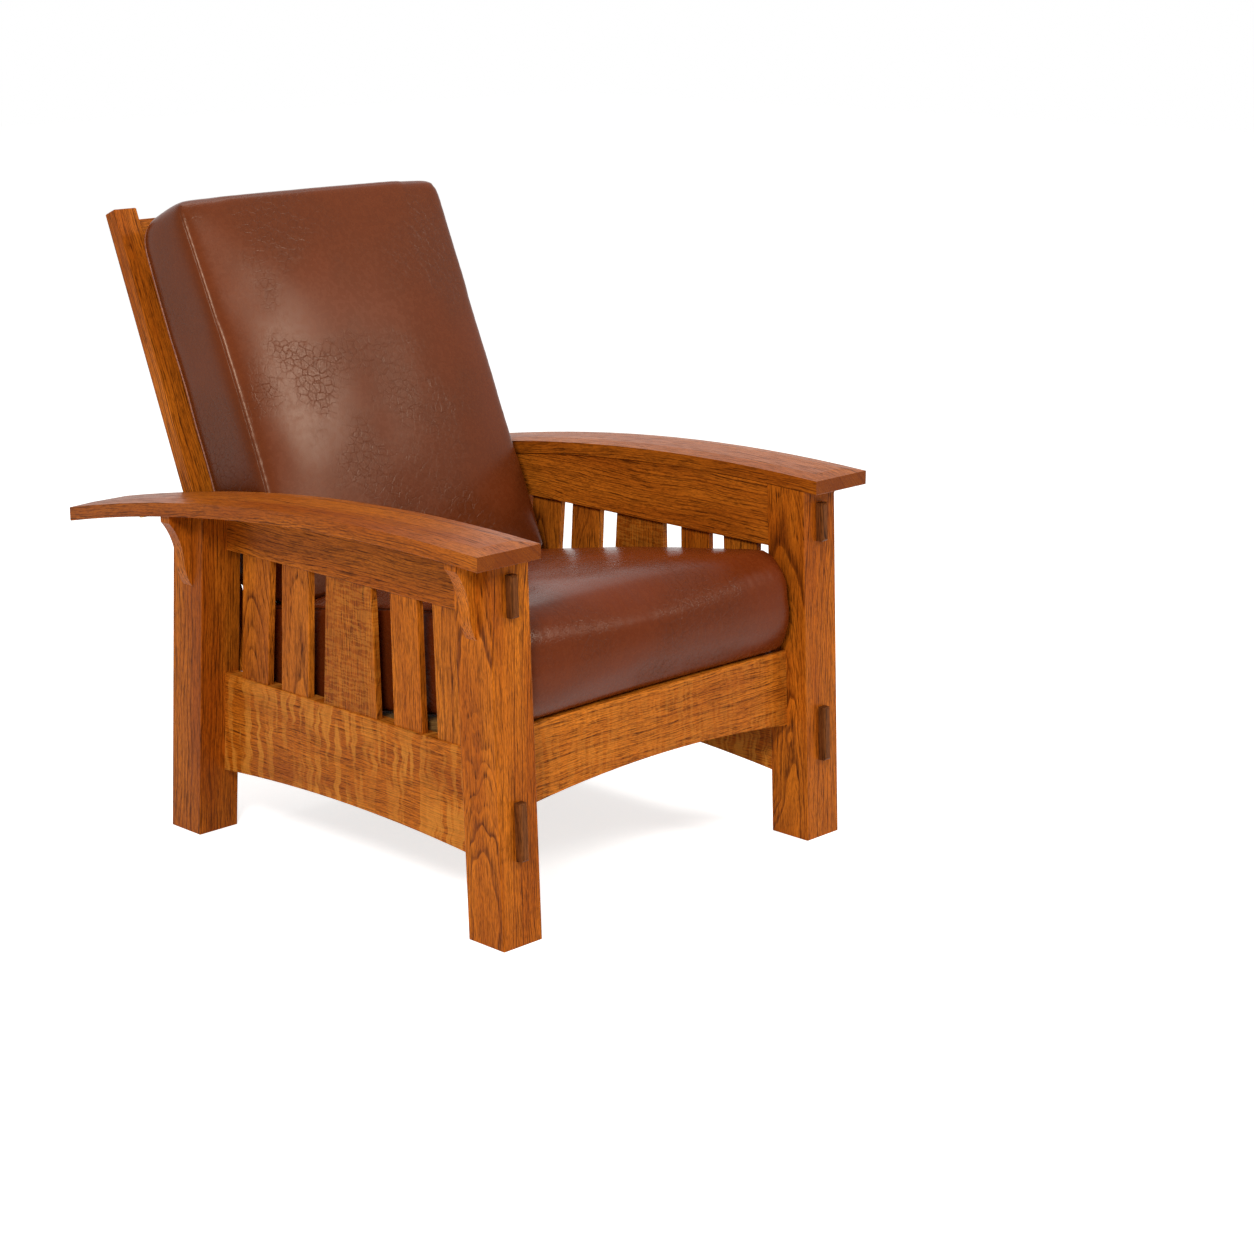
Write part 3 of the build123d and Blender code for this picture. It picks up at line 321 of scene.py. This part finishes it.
    # Ends drank more stain
    ends = put("ShaderNodeVectorMath", {0: facing, 1: along}, operation="DOT_PRODUCT", out="Value")
    ends = put("ShaderNodeMath", {0: ends}, operation="ABSOLUTE")
    ends = put("ShaderNodeMapRange", {0: ends, 1: 0.6, 2: 0.95, 3: 0.0, 4: 0.7})
    colour = put("ShaderNodeMix", {0: ends, 6: colour, 7: late}, data_type="RGBA", out=2)
    bump = put(
        "ShaderNodeBump", {"Height": pore, "Strength": 0.3, "Distance": 0.4 * MM}, invert=True
    )
    feed(shader, {
        "Base Color": colour,
        "Roughness": put("ShaderNodeMapRange", {0: pore, 3: 0.33, 4: 0.55}),
        "Specular IOR Level": wax,
        "Specular Tint": linear(WAX),
        "Normal": bump,
    })
    return material


def oak(node, *cut, **figure):
    """Dresses a node in quarter-sawn white oak, stained amber brown and waxed."""
    dress(node, board(node, "oak_waxed", OAK, *cut, **figure))


for side, out in (("left", -1), ("right", 1)):
    oak(
        f"leg_front_{side}", FRONT_LEG_UP, ACROSS, (0.1, 0.0),
        taper=0.12, growth=3.0, lines=0.85,
    )
    oak(f"leg_rear_{side}", REAR_LEG_UP, ACROSS, (-0.2 * out, 0.15), taper=0.03, shade=0.1)
    oak(f"arm_{side}", REARWARD, ACROSS, (0.4, -0.4), taper=0.02, shade=0.28, wax=0.1, bent=True)
    oak(f"upper_side_rail_{side}", REARWARD, UP, (0.6, 0.3), taper=0.03, shade=-0.04)
    oak(
        f"lower_side_rail_{side}", REARWARD, UP, (0.7, 0.02),
        taper=0.03, lines=0.8, flake=0.6, shade=0.08,
    )
    oak(f"side_slat_{side}_1", UP, REARWARD, (0.01, 0.05), taper=0.1, shade=-0.1)
    oak(f"side_slat_{side}_2", UP, REARWARD, (-0.015, 0.06), taper=0.09, lines=0.6, shade=-0.12)
    oak(
        f"side_slat_{side}_3", UP, REARWARD, (0.6, 0.05),
        taper=0.04, flake=0.3, ray=0.25, shade=0.3,
    )
    oak(f"side_slat_{side}_4", UP, REARWARD, (0.5, 0.3), taper=0.04, lines=0.6)
    oak(f"side_slat_{side}_5", UP, REARWARD, (0.4, 0.3), taper=0.04, lines=0.6, shade=-0.1)
    for end in ("front", "rear"):
        oak(f"corbel_{end}_{side}", UP, ACROSS, (0.4, 0.4), taper=0.02, lines=0.6)
    oak(f"back_post_{side}", BACK_UP, ACROSS, (0.3 * out, 0.3), taper=0.02)
    # The seat frame's sides in maple, darkened with painted shade
    dress(
        f"seat_frame_{side}",
        board(f"seat_frame_{side}", "maple_raw", MAPLE_IN_SHADE, SEAT_ALONG, ACROSS, (0.2, 0.1)),
    )
oak("front_rail", ACROSS, UP, (0.5, 0.04), taper=0.03, lines=0.65, flake=0.2, ray=0.5, shade=-0.1)
oak("rear_rail", ACROSS, UP, (0.5, 0.04), taper=0.03, flake=0.3, shade=0.15)
for name in ("back_bottom_rail", "back_top_rail", *(f"back_slat_{index}" for index in range(1, 5))):
    oak(name, ACROSS, BACK_UP, (0.5, 0.05), taper=0.03, flake=0.15, shade=0.25)

# Tenon ends in oiled walnut: dark brown, with a redder bloom and short grain
for name in ("lower_tenon_ends", "upper_tenon_ends"):
    dress(name, board(name, "walnut_oiled", WALNUT, FRONT_LEG_UP, ACROSS, (0.3, 0.1)))

# Hidden pieces in plain maple, unfinished, close grained, coloured a dull tan darker than raw
# maple: painted shade for the dark inside the seat
for name in ("seat_frame_front", "seat_frame_rear", "seat_cleat_front", "seat_cleat_rear"):
    dress(name, board(name, "maple_raw", MAPLE_IN_SHADE, ACROSS, REARWARD, (0.2, 0.1)))
dress("arm_dowels", board("arm_dowels", "maple_raw", MAPLE_IN_SHADE, UP, ACROSS, (0.2, 0.1)))


def metal(name, colour, roughness, scale):
    """Plain metal whose sheen varies with the marks of its making, scale of them to a metre."""
    material, put, shader = new_material(name)
    place = put("ShaderNodeTexCoord", out="Object")
    spread = put("ShaderNodeMapping", {"Vector": place, "Scale": scale})
    marks = put("ShaderNodeTexNoise", {"Vector": spread, "Scale": 1.0, "Detail": 4.0})
    dull, bright = (linear(tint) for tint in colour)
    feed(shader, {
        "Base Color": put("ShaderNodeMix", {0: marks, 6: dull, 7: bright}, data_type="RGBA", out=2),
        "Metallic": 1.0,
        "Roughness": put("ShaderNodeMapRange", {0: marks, 3: roughness[0], 4: roughness[1]}),
        "Normal": put("ShaderNodeBump", {"Height": marks, "Strength": 0.15, "Distance": 0.2 * MM}),
    })
    return material


# Cold-rolled steel, oil-blackened: dark grey with a brown cast and fine drawn lines along the rod
blackened_steel = metal("steel_blackened", ("#3b3835", "#6d6963"), (0.55, 0.34), (25, 900, 900))
for name in (
    "cleat_screws", "guide_screws", "pivot_bolts", "pivot_washers", "recline_rod", "clamp_washers",
    "rod_guide_left", "rod_guide_right",
):
    dress(name, blackened_steel)
# Sintered bronze: matt, even and speckled by its oil-filled pores, about 1 mm apart as drawn
sintered_bronze = metal("bronze_sintered", ("#7a4f28", "#a8743f"), (0.6, 0.45), (900, 900, 900))
dress("pivot_bushes", sintered_bronze)
# Turned brass, aged: warm yellow brown with the lathe's rings, 1 mm apart as drawn, round the head
turned_brass = metal("brass_turned", ("#7d5b24", "#b38b46"), (0.42, 0.25), (120, 180, 1000))
for name in ("clamp_screw_left", "clamp_screw_right"):
    dress(name, turned_brass)

# Jute webbing, plain woven: straw brown, dull, threads 2 mm apart drawn at 4 mm so that they show
THREADS = 4 * MM
jute, put, shader = new_material("jute_woven")
seat_turn = Matrix((ACROSS, SEAT_ALONG, SEAT_UP)).to_euler()
place = put(
    "ShaderNodeMapping",
    {"Vector": put("ShaderNodeTexCoord", out="Object"), "Rotation": seat_turn},
)
parts = put("ShaderNodeSeparateXYZ", {0: place}).node.outputs
over = put("ShaderNodeMath", {0: parts[0], 1: 2 * pi / THREADS}, operation="MULTIPLY")
under = put("ShaderNodeMath", {0: parts[1], 1: 2 * pi / THREADS}, operation="MULTIPLY")
over = put("ShaderNodeMath", {0: over}, operation="SINE")
under = put("ShaderNodeMath", {0: under}, operation="SINE")
weave = put("ShaderNodeMath", {0: over, 1: under}, operation="MULTIPLY")
slub = put("ShaderNodeTexNoise", {"Vector": place, "Scale": 160.0, "Detail": 3.0})
weave = put("ShaderNodeMath", {0: slub, 1: 1.2, 2: weave}, operation="MULTIPLY_ADD")
weave = put("ShaderNodeMapRange", {0: weave, 1: -0.6, 2: 1.6})
feed(shader, {
    "Base Color": put("ShaderNodeValToRGB", {0: weave}, ((0, "#6b5232"), (1, "#b89a68"))),
    "Roughness": 0.9,
    "Specular IOR Level": 0.1,
    "Sheen Weight": 0.3,
    "Normal": put("ShaderNodeBump", {"Height": weave, "Strength": 0.7, "Distance": 0.5 * MM}),
})
for name in ("webbing_lengthwise", "webbing_crosswise"):
    dress(name, jute)


# What the leather's glaze mirrors, the colour of its flecks, and the painted shade in its creases
# and seams
GLAZE = "#ffe2c4"
FLECK = "#8a4418"
CREASE_SHADE = "#431706"
SEAM_SHADE = "#240c04"


def leather(name, ground, deep, seam_depth, glaze):
    """Semi-gloss aniline leather, drum dyed and glazed.

    The eye gets a cloudy red brown, fine creases in patches where the leather has flexed, darkened
    with painted shade, a soft broken highlight, and sunken seams darkened with painted shade. The
    attribute seam holds how far each point lies from the nearest seam, in metres, less than zero on
    the boxing. seam_depth is how dark the seams' painted shade is and how wide and deep the seams
    are, and glaze how much the leather mirrors.
    """
    material, put, shader = new_material(name)
    place = put("ShaderNodeTexCoord", out="Object")
    cloud = put("ShaderNodeTexNoise", {"Vector": place, "Scale": 7.0, "Detail": 2.0})
    cloud = put("ShaderNodeValToRGB", {0: cloud}, ((0.34, 0), (0.66, 1)))
    fleck = put("ShaderNodeTexNoise", {"Vector": place, "Scale": 110.0, "Detail": 3.0})
    fleck = put("ShaderNodeValToRGB", {0: fleck}, ((0.4, 0), (0.66, 1)))
    # Creases enclose fields some 14 mm wide with finer ones of 5 mm in them, and come in patches
    bent = put("ShaderNodeTexNoise", {"Vector": place, "Scale": 40.0, "Detail": 2.0}, out="Color")
    bent = put(
        "ShaderNodeVectorMath",
        {0: bent, 1: (12 * MM, 12 * MM, 12 * MM), 2: place},
        operation="MULTIPLY_ADD",
    )
    wide = put("ShaderNodeTexVoronoi", {"Vector": bent, "Scale": 72.0}, feature="DISTANCE_TO_EDGE")
    wide = put("ShaderNodeMapRange", {0: wide, 1: 0.0, 2: 0.05, 3: 1.0, 4: 0.0})
    fine = put("ShaderNodeTexVoronoi", {"Vector": bent, "Scale": 200.0}, feature="DISTANCE_TO_EDGE")
    fine = put("ShaderNodeMapRange", {0: fine, 1: 0.0, 2: 0.09, 3: 1.0, 4: 0.0})
    patch = put("ShaderNodeTexNoise", {"Vector": place, "Scale": 7.0, "Detail": 2.0})
    patch = put("ShaderNodeMapRange", {0: patch, 1: 0.46, 2: 0.62, 3: 0.0, 4: 1.0})
    wide = put("ShaderNodeMath", {0: wide, 1: patch}, operation="MULTIPLY")
    fine = put("ShaderNodeMath", {0: fine, 1: patch}, operation="MULTIPLY")
    crease = put("ShaderNodeMath", {0: fine, 1: 0.35, 2: wide}, operation="MULTIPLY_ADD")
    # Pores of the hide, 0.6 mm apart, drawn at 1.5 mm
    hide = put("ShaderNodeTexNoise", {"Vector": place, "Scale": 650.0, "Detail": 1.0})

    # 1 on a seam, and less the further from it
    seam = put("ShaderNodeAttribute", attribute_name="seam", out="Fac")
    seam = put("ShaderNodeMath", {0: seam, 1: 1.6 * MM * seam_depth}, operation="DIVIDE")
    seam = put("ShaderNodeMath", {0: seam, 1: seam}, operation="MULTIPLY")
    seam = put("ShaderNodeMath", {0: seam, 1: -1.0}, operation="MULTIPLY")
    seam = put("ShaderNodeMath", {0: seam}, operation="EXPONENT")

    ground, deep = linear(ground), linear(deep)
    colour = put("ShaderNodeMix", {0: cloud, 6: ground, 7: deep}, data_type="RGBA", out=2)
    # The flecks are the leather's own colour; the darkening along creases and seams is painted
    # shade
    marks = ((fleck, 0.06, FLECK), (crease, 0.35, CREASE_SHADE), (seam, 0.6 * seam_depth, SEAM_SHADE))
    for mark, share, tint in marks:
        part = put("ShaderNodeMath", {0: mark, 1: share}, operation="MULTIPLY", use_clamp=True)
        tint = linear(tint)
        colour = put("ShaderNodeMix", {0: part, 6: colour, 7: tint}, data_type="RGBA", out=2)
    relief = 0.0
    for mark, height in ((hide, 0.04), (fleck, 0.03), (crease, -0.5), (seam, -seam_depth)):
        relief = put("ShaderNodeMath", {0: mark, 1: height, 2: relief}, operation="MULTIPLY_ADD")
    feed(shader, {
        "Base Color": colour,
        "Roughness": put("ShaderNodeMapRange", {0: fleck, 3: 0.25, 4: 0.3}),
        "Specular IOR Level": glaze,
        "Specular Tint": linear(GLAZE),
        "Normal": put("ShaderNodeBump", {"Height": relief, "Strength": 0.6, "Distance": 0.5 * MM}),
    })
    return material


def baked(piece):
    """Applies the modifiers of a piece to its mesh."""
    bpy.context.view_layer.update()
    depsgraph = bpy.context.evaluated_depsgraph_get()
    mesh = bpy.data.meshes.new_from_object(piece.evaluated_get(depsgraph))
    piece.modifiers.clear()
    piece.data = mesh
    mesh.name = piece.name


def seam_finder(bm, boxing):
    """Parts a cushion's faces into boxing and panels. Returns what measures to their seams."""
    panels = {True: [], False: []}
    for face in bm.faces:
        panels[boxing(face.normal)].append([corner.co.copy() for corner in face.verts])
    trees = {
        kind: BVHTree.FromPolygons(
            [corner for corners in faces for corner in corners],
            [tuple(range(3 * index, 3 * index + 3)) for index in range(len(faces))],
        )
        for kind, faces in panels.items()
    }

    def seam_distance(point):
        """Signed distance to the nearest seam, and the seam's nearest point."""
        on_boxing, _, _, to_boxing = trees[True].find_nearest(point)
        on_panel, _, _, to_panel = trees[False].find_nearest(point)
        return to_boxing - to_panel, on_boxing if to_boxing > to_panel else on_panel

    return seam_distance


def stuff(piece, fixed, pressure, cap):
    """Blows up a closed cover like cloth, by cap at most, and pulls out most of its folds.

    fixed says of a point whether it keeps its place.
    """
    start = [vertex.co.copy() for vertex in piece.data.vertices]
    sewn = piece.vertex_groups.new(name="seams")
    sewn.add([index for index, point in enumerate(start) if fixed(point)], 1.0, "REPLACE")
    cloth = piece.modifiers.new("stuffing", "CLOTH")
    cloth.settings.use_pressure = True
    cloth.settings.uniform_pressure_force = pressure
    cloth.settings.effector_weights.gravity = 0
    cloth.settings.bending_stiffness = 10
    cloth.settings.vertex_group_mass = "seams"
    for step in range(1, STUFFING_FRAMES + 1):
        scene.frame_set(step)
    baked(piece)
    scene.frame_set(1)
    moves = np.array([vertex.co - before for vertex, before in zip(piece.data.vertices, start)])
    swelling = moves.copy()
    pairs = np.array([edge.vertices[:] for edge in piece.data.edges])
    for _ in range(TAUT_ROUNDS):
        around = np.zeros_like(swelling)
        np.add.at(around, pairs[:, 0], swelling[pairs[:, 1]])
        np.add.at(around, pairs[:, 1], swelling[pairs[:, 0]])
        swelling = around / np.bincount(pairs.ravel())[:, None]
    moves = TAUT * swelling + (1 - TAUT) * moves
    for vertex, before, move in zip(piece.data.vertices, start, moves):
        move = Vector(move)
        if move.length > cap:
            move = move.normalized() * cap
        vertex.co = before + move


def cushion(node, name, boxing, held, stops, pressure, cap, wrinkle, soft):
    """Stuffed cushion in the space of a CAD node: blown up like cloth between its sewn seams.

    boxing says of a face's normal whether it is boxing, and held of a point whether it keeps its
    place, as the seams do. stops are planes that the cushion presses against, each a test, a point
    and a direction. wrinkle gives a point's small folds in metres. soft is how often its edges are
    rounded before it is stuffed, and a third of that after.
    """
    bm = bmesh.new()
    bm.from_mesh(nodes[node].data)
    bmesh.ops.remove_doubles(bm, verts=bm.verts, dist=0.01 * MM)
    seam_distance = seam_finder(bm, boxing)
    piece = placed(name, bpy.data.meshes.new(name))
    bm.to_mesh(piece.data)
    bm.free()
    even = piece.modifiers.new("even", "REMESH")
    even.mode = "VOXEL"
    even.voxel_size = COVER_MESH
    rounding = piece.modifiers.new("rounding", "SMOOTH")
    rounding.factor = 0.5
    rounding.iterations = soft
    baked(piece)

    stuff(
        piece,
        lambda point: held(point) or abs(seam_distance(point)[0]) < SEAM_STRIP,
        pressure,
        cap,
    )
    bm = bmesh.new()
    bm.from_mesh(piece.data)
    for _ in range(soft // 3):
        bmesh.ops.smooth_vert(
            bm, verts=bm.verts, factor=0.5, use_axis_x=True, use_axis_y=True, use_axis_z=True
        )
    bm.to_mesh(piece.data)
    bm.free()
    finer = piece.modifiers.new("finer", "SUBSURF")
    finer.levels = finer.render_levels = 1
    baked(piece)

    mesh = piece.data
    seams = mesh.attributes.new("seam", "FLOAT", "POINT")
    normals = [vertex.normal.copy() for vertex in mesh.vertices]
    for index, vertex in enumerate(mesh.vertices):
        distance, anchor = seam_distance(vertex.co)
        seams.data[index].value = distance
        away = abs(distance)
        # The seam sinks in, and small puckers run from it into the panels
        groove = GROOVE[0] * exp(-((away / GROOVE[1]) ** 2))
        pucker = PUCKER[0] * exp(-away / PUCKER[1]) * noise.noise(anchor * PUCKERS)
        vertex.co += normals[index] * (pucker - groove + wrinkle(vertex.co))
        for test, point, direction in stops:
            gap = (vertex.co - point).dot(direction)
            if gap < 0 and test(vertex.co):
                vertex.co -= direction * gap
    for face in mesh.polygons:
        face.use_smooth = True
    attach(piece, nodes[node]["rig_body"])
    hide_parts(node)
    return piece


def anywhere(point):
    """Test of a plane that holds everywhere."""
    return True


def under_back(point):
    """Whether a point of the seat lies under the back cushion."""
    return (point - DECK).dot(SEAT_ALONG) > SEAT_UNDER_BACK


def seat_wrinkle(point):
    """Short folds 10 mm apart over the seat's nose, deeper towards its ends, and slow hollows."""
    along = (point - DECK).dot(SEAT_ALONG)
    high = (point - DECK).dot(SEAT_UP)
    nose_along, nose_high, reach = -15 * MM, 130 * MM, 50 * MM
    near_nose = exp(-(((along - nose_along) / reach) ** 2 + ((high - nose_high) / reach) ** 2))
    ends = 0.35 + 0.65 * (abs(point.x) / 0.29) ** 3
    folds = noise.noise(Vector((point.x * 100, along * 9, high * 9)))
    hollows = noise.noise(Vector((point.x * 14, along * 14, 3)))
    return 0.8 * MM * folds * near_nose * ends + 0.7 * MM * hollows


def back_wrinkle(point):
    """Slow hollows of the stuffing under the back's leather."""
    return 0.9 * MM * noise.noise(point * 11 + Vector((5, 1, 2)))


seat = cushion(
    "seat_cushion",
    "seat_cushion_leather",
    lambda normal: abs(normal.x) > 0.6,
    lambda point: False,
    (
        (anywhere, DECK + SEAT_UP * 0.6 * MM, SEAT_UP),
        (under_back, DECK + SEAT_UP * SEAT_THICK, -SEAT_UP),
        (anywhere, Vector((LEG_INNER - 1 * MM, 0, 0)), -ACROSS),
        (anywhere, Vector((1 * MM - LEG_INNER, 0, 0)), ACROSS),
    ),
    pressure=3,
    cap=14 * MM,
    wrinkle=seat_wrinkle,
    soft=12,
)
seat.data.materials.append(leather("leather_glazed_seat", "#64270b", "#5b240a", 1.4, 0.13))
back = cushion(
    "back_cushion",
    "back_cushion_leather",
    lambda normal: normal.dot(BACK_FORWARD) < 0.6,
    lambda point: abs(point.x) > 0.27 or (point - PIVOT).dot(BACK_UP) > 0.71,
    (
        (anywhere, PIVOT + BACK_FORWARD * (POSTS_FRONT + 0.5 * MM), BACK_FORWARD),
        (anywhere, DECK + SEAT_UP * (SEAT_THICK + 0.5 * MM), SEAT_UP),
    ),
    pressure=4,
    cap=22 * MM,
    wrinkle=back_wrinkle,
    soft=36,
)
back.data.materials.append(leather("leather_glazed_back", "#622a0f", "#5a270d", 0.5, 0.2))


# The welt's course. The rear edge of the back cushion's boxing is a rectangle with round corners.
# Forward of the pivots it lies 46 mm at its sides and 88 mm along its top and bottom. The course is
# laid a little outside the cushion and 30 mm behind the edge, from where that edge is nearest.
WELT_HALF_WIDE = 295 * MM
WELT_MIDDLE = 381.5 * MM
WELT_HALF_HIGH = 357 * MM
WELT_SIDES, WELT_ENDS, WELT_BEHIND = 46 * MM, 88 * MM, 30 * MM
WELT_TURN = 0.85  # share of the half height from which it bends forward to the ends
WELT_CORNERS = 120
WELT_STEP = 4 * MM


def welt(name, body, radius, surface):
    """Leather welt sewn round the rear edge of the back cushion's boxing."""
    path = []
    for corner in range(WELT_CORNERS):
        turn = 2 * pi * corner / WELT_CORNERS
        side, rise = (copysign(abs(part) ** 0.2, part) for part in (cos(turn), sin(turn)))
        bend = max(0.0, (abs(rise) - WELT_TURN) / (1 - WELT_TURN))
        depth = WELT_SIDES + (WELT_ENDS - WELT_SIDES) * bend
        path.append(
            PIVOT
            + ACROSS * WELT_HALF_WIDE * side
            + BACK_UP * (WELT_MIDDLE + WELT_HALF_HIGH * rise)
            + BACK_FORWARD * (depth - WELT_BEHIND)
        )
    points = []
    for here, there in zip(path, path[1:] + path[:1]):
        steps = max(1, round((there - here).length / WELT_STEP))
        points += [here.lerp(there, step / steps) for step in range(steps)]
    skin = bmesh.new()
    skin.from_mesh(surface.data)
    shape = BVHTree.FromBMesh(skin)
    skin.free()
    on_skin = []
    for point in points:
        place, normal, _, _ = shape.find_nearest(point)
        on_skin.append(place + normal * 0.4 * radius)
    for _ in range(6):
        on_skin = [
            (on_skin[index - 1] + 2 * here + on_skin[(index + 1) % len(on_skin)]) / 4
            for index, here in enumerate(on_skin)
        ]
    curve = bpy.data.curves.new(name, "CURVE")
    curve.dimensions = "3D"
    curve.bevel_depth = radius
    curve.bevel_resolution = 2
    spline = curve.splines.new("POLY")
    spline.points.add(len(on_skin) - 1)
    spline.use_cyclic_u = True
    for target, point in zip(spline.points, on_skin):
        target.co = (*point, 1)
    line = placed(f"{name}_path", curve)
    bpy.context.view_layer.update()
    depsgraph = bpy.context.evaluated_depsgraph_get()
    mesh = bpy.data.meshes.new_from_object(line.evaluated_get(depsgraph))
    mesh.name = name
    bpy.data.objects.remove(line)
    piece = placed(name, mesh)
    for face in mesh.polygons:
        face.use_smooth = True
    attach(piece, body)
    return piece


# The welt is the same leather painted paler on its round in patches 5 mm wide: a painted highlight
# along the welt
welt_highlight, put, shader = new_material("leather_welt_painted_highlight")
place = put("ShaderNodeTexCoord", out="Object")
highlight_patches = put("ShaderNodeTexNoise", {"Vector": place, "Scale": 220.0, "Detail": 3.0})
feed(shader, {
    "Base Color": put("ShaderNodeValToRGB", {0: highlight_patches}, ((0.35, "#6b3220"), (0.65, "#a0613f"))),
    "Roughness": put("ShaderNodeMapRange", {0: highlight_patches, 3: 0.38, 4: 0.5}),
    "Specular IOR Level": 0.45,
    "Normal": put("ShaderNodeBump", {"Height": highlight_patches, "Strength": 0.3, "Distance": 0.3 * MM}),
})
back_welt = welt("back_cushion_welt", "back", 1.6 * MM, back)
back_welt.data.materials.append(welt_highlight)

# Camera at the photo's view, fitted to the chair's corners there
camera = placed("camera", bpy.data.cameras.new("camera"))
camera.data.sensor_fit = "HORIZONTAL"
camera.data.sensor_width = 36
camera.data.lens = 75.33
camera.data.clip_end = 60
camera.location = (-2.7763, -3.1117, 1.4314)
camera.rotation_euler = Euler((radians(90 - 14.95), 0, radians(-45.57)))
scene.camera = camera

# Plain pale floor, which keeps the shadow, under a white surround
floor_mesh = bpy.data.meshes.new("floor")
bm = bmesh.new()
bmesh.ops.create_grid(bm, size=14)
bm.to_mesh(floor_mesh)
bm.free()
floor = placed("floor", floor_mesh)
floor.location = (0, 0, -0.5 * MM)
# Matt off-white floor paint: no sheen, so that the shadow stays soft and plain
paint, put, shader = new_material("floor_paint_matt")
glow = put("ShaderNodeMath", {0: seen_white(put), 1: 0.72}, operation="MULTIPLY")
feed(shader, {
    "Base Color": linear("#f4f3f0"),
    "Roughness": 0.9,
    "Specular IOR Level": 0.0,
    "Emission Color": (1, 1, 1, 1),
    "Emission Strength": glow,
})
floor_mesh.materials.append(paint)

world = bpy.data.worlds.new("studio")
scene.world = world
world.use_nodes = True
world.node_tree.nodes.clear()
put = partial(add, world.node_tree)
strength = put("ShaderNodeMapRange", {0: seen_white(put), 3: 0.32, 4: 1.0})
sky = put("ShaderNodeBackground", {"Color": (1, 1, 1, 1), "Strength": strength})
put("ShaderNodeOutputWorld", {"Surface": sky})


def softbox(name, place, aim, width, power):
    """Large square lamp that looks at a point."""
    lamp = bpy.data.lights.new(name, "AREA")
    lamp.shape = "SQUARE"
    lamp.size = width
    lamp.energy = power
    box = placed(name, lamp)
    box.location = place
    box.rotation_euler = (Vector(aim) - Vector(place)).to_track_quat("-Z", "Y").to_euler()


softbox("key_softbox", (-2.75, -2.0, 2.7), (0, 0, 0.5), 0.9, 104)
softbox("fill_softbox", (1.9, -2.9, 2.8), (0, 0, 0.5), 1.0, 64)
softbox("top_softbox", (0.3, 0.6, 3.4), (0, 0, 0.4), 2.0, 36)

scene.view_settings.view_transform = "Standard"
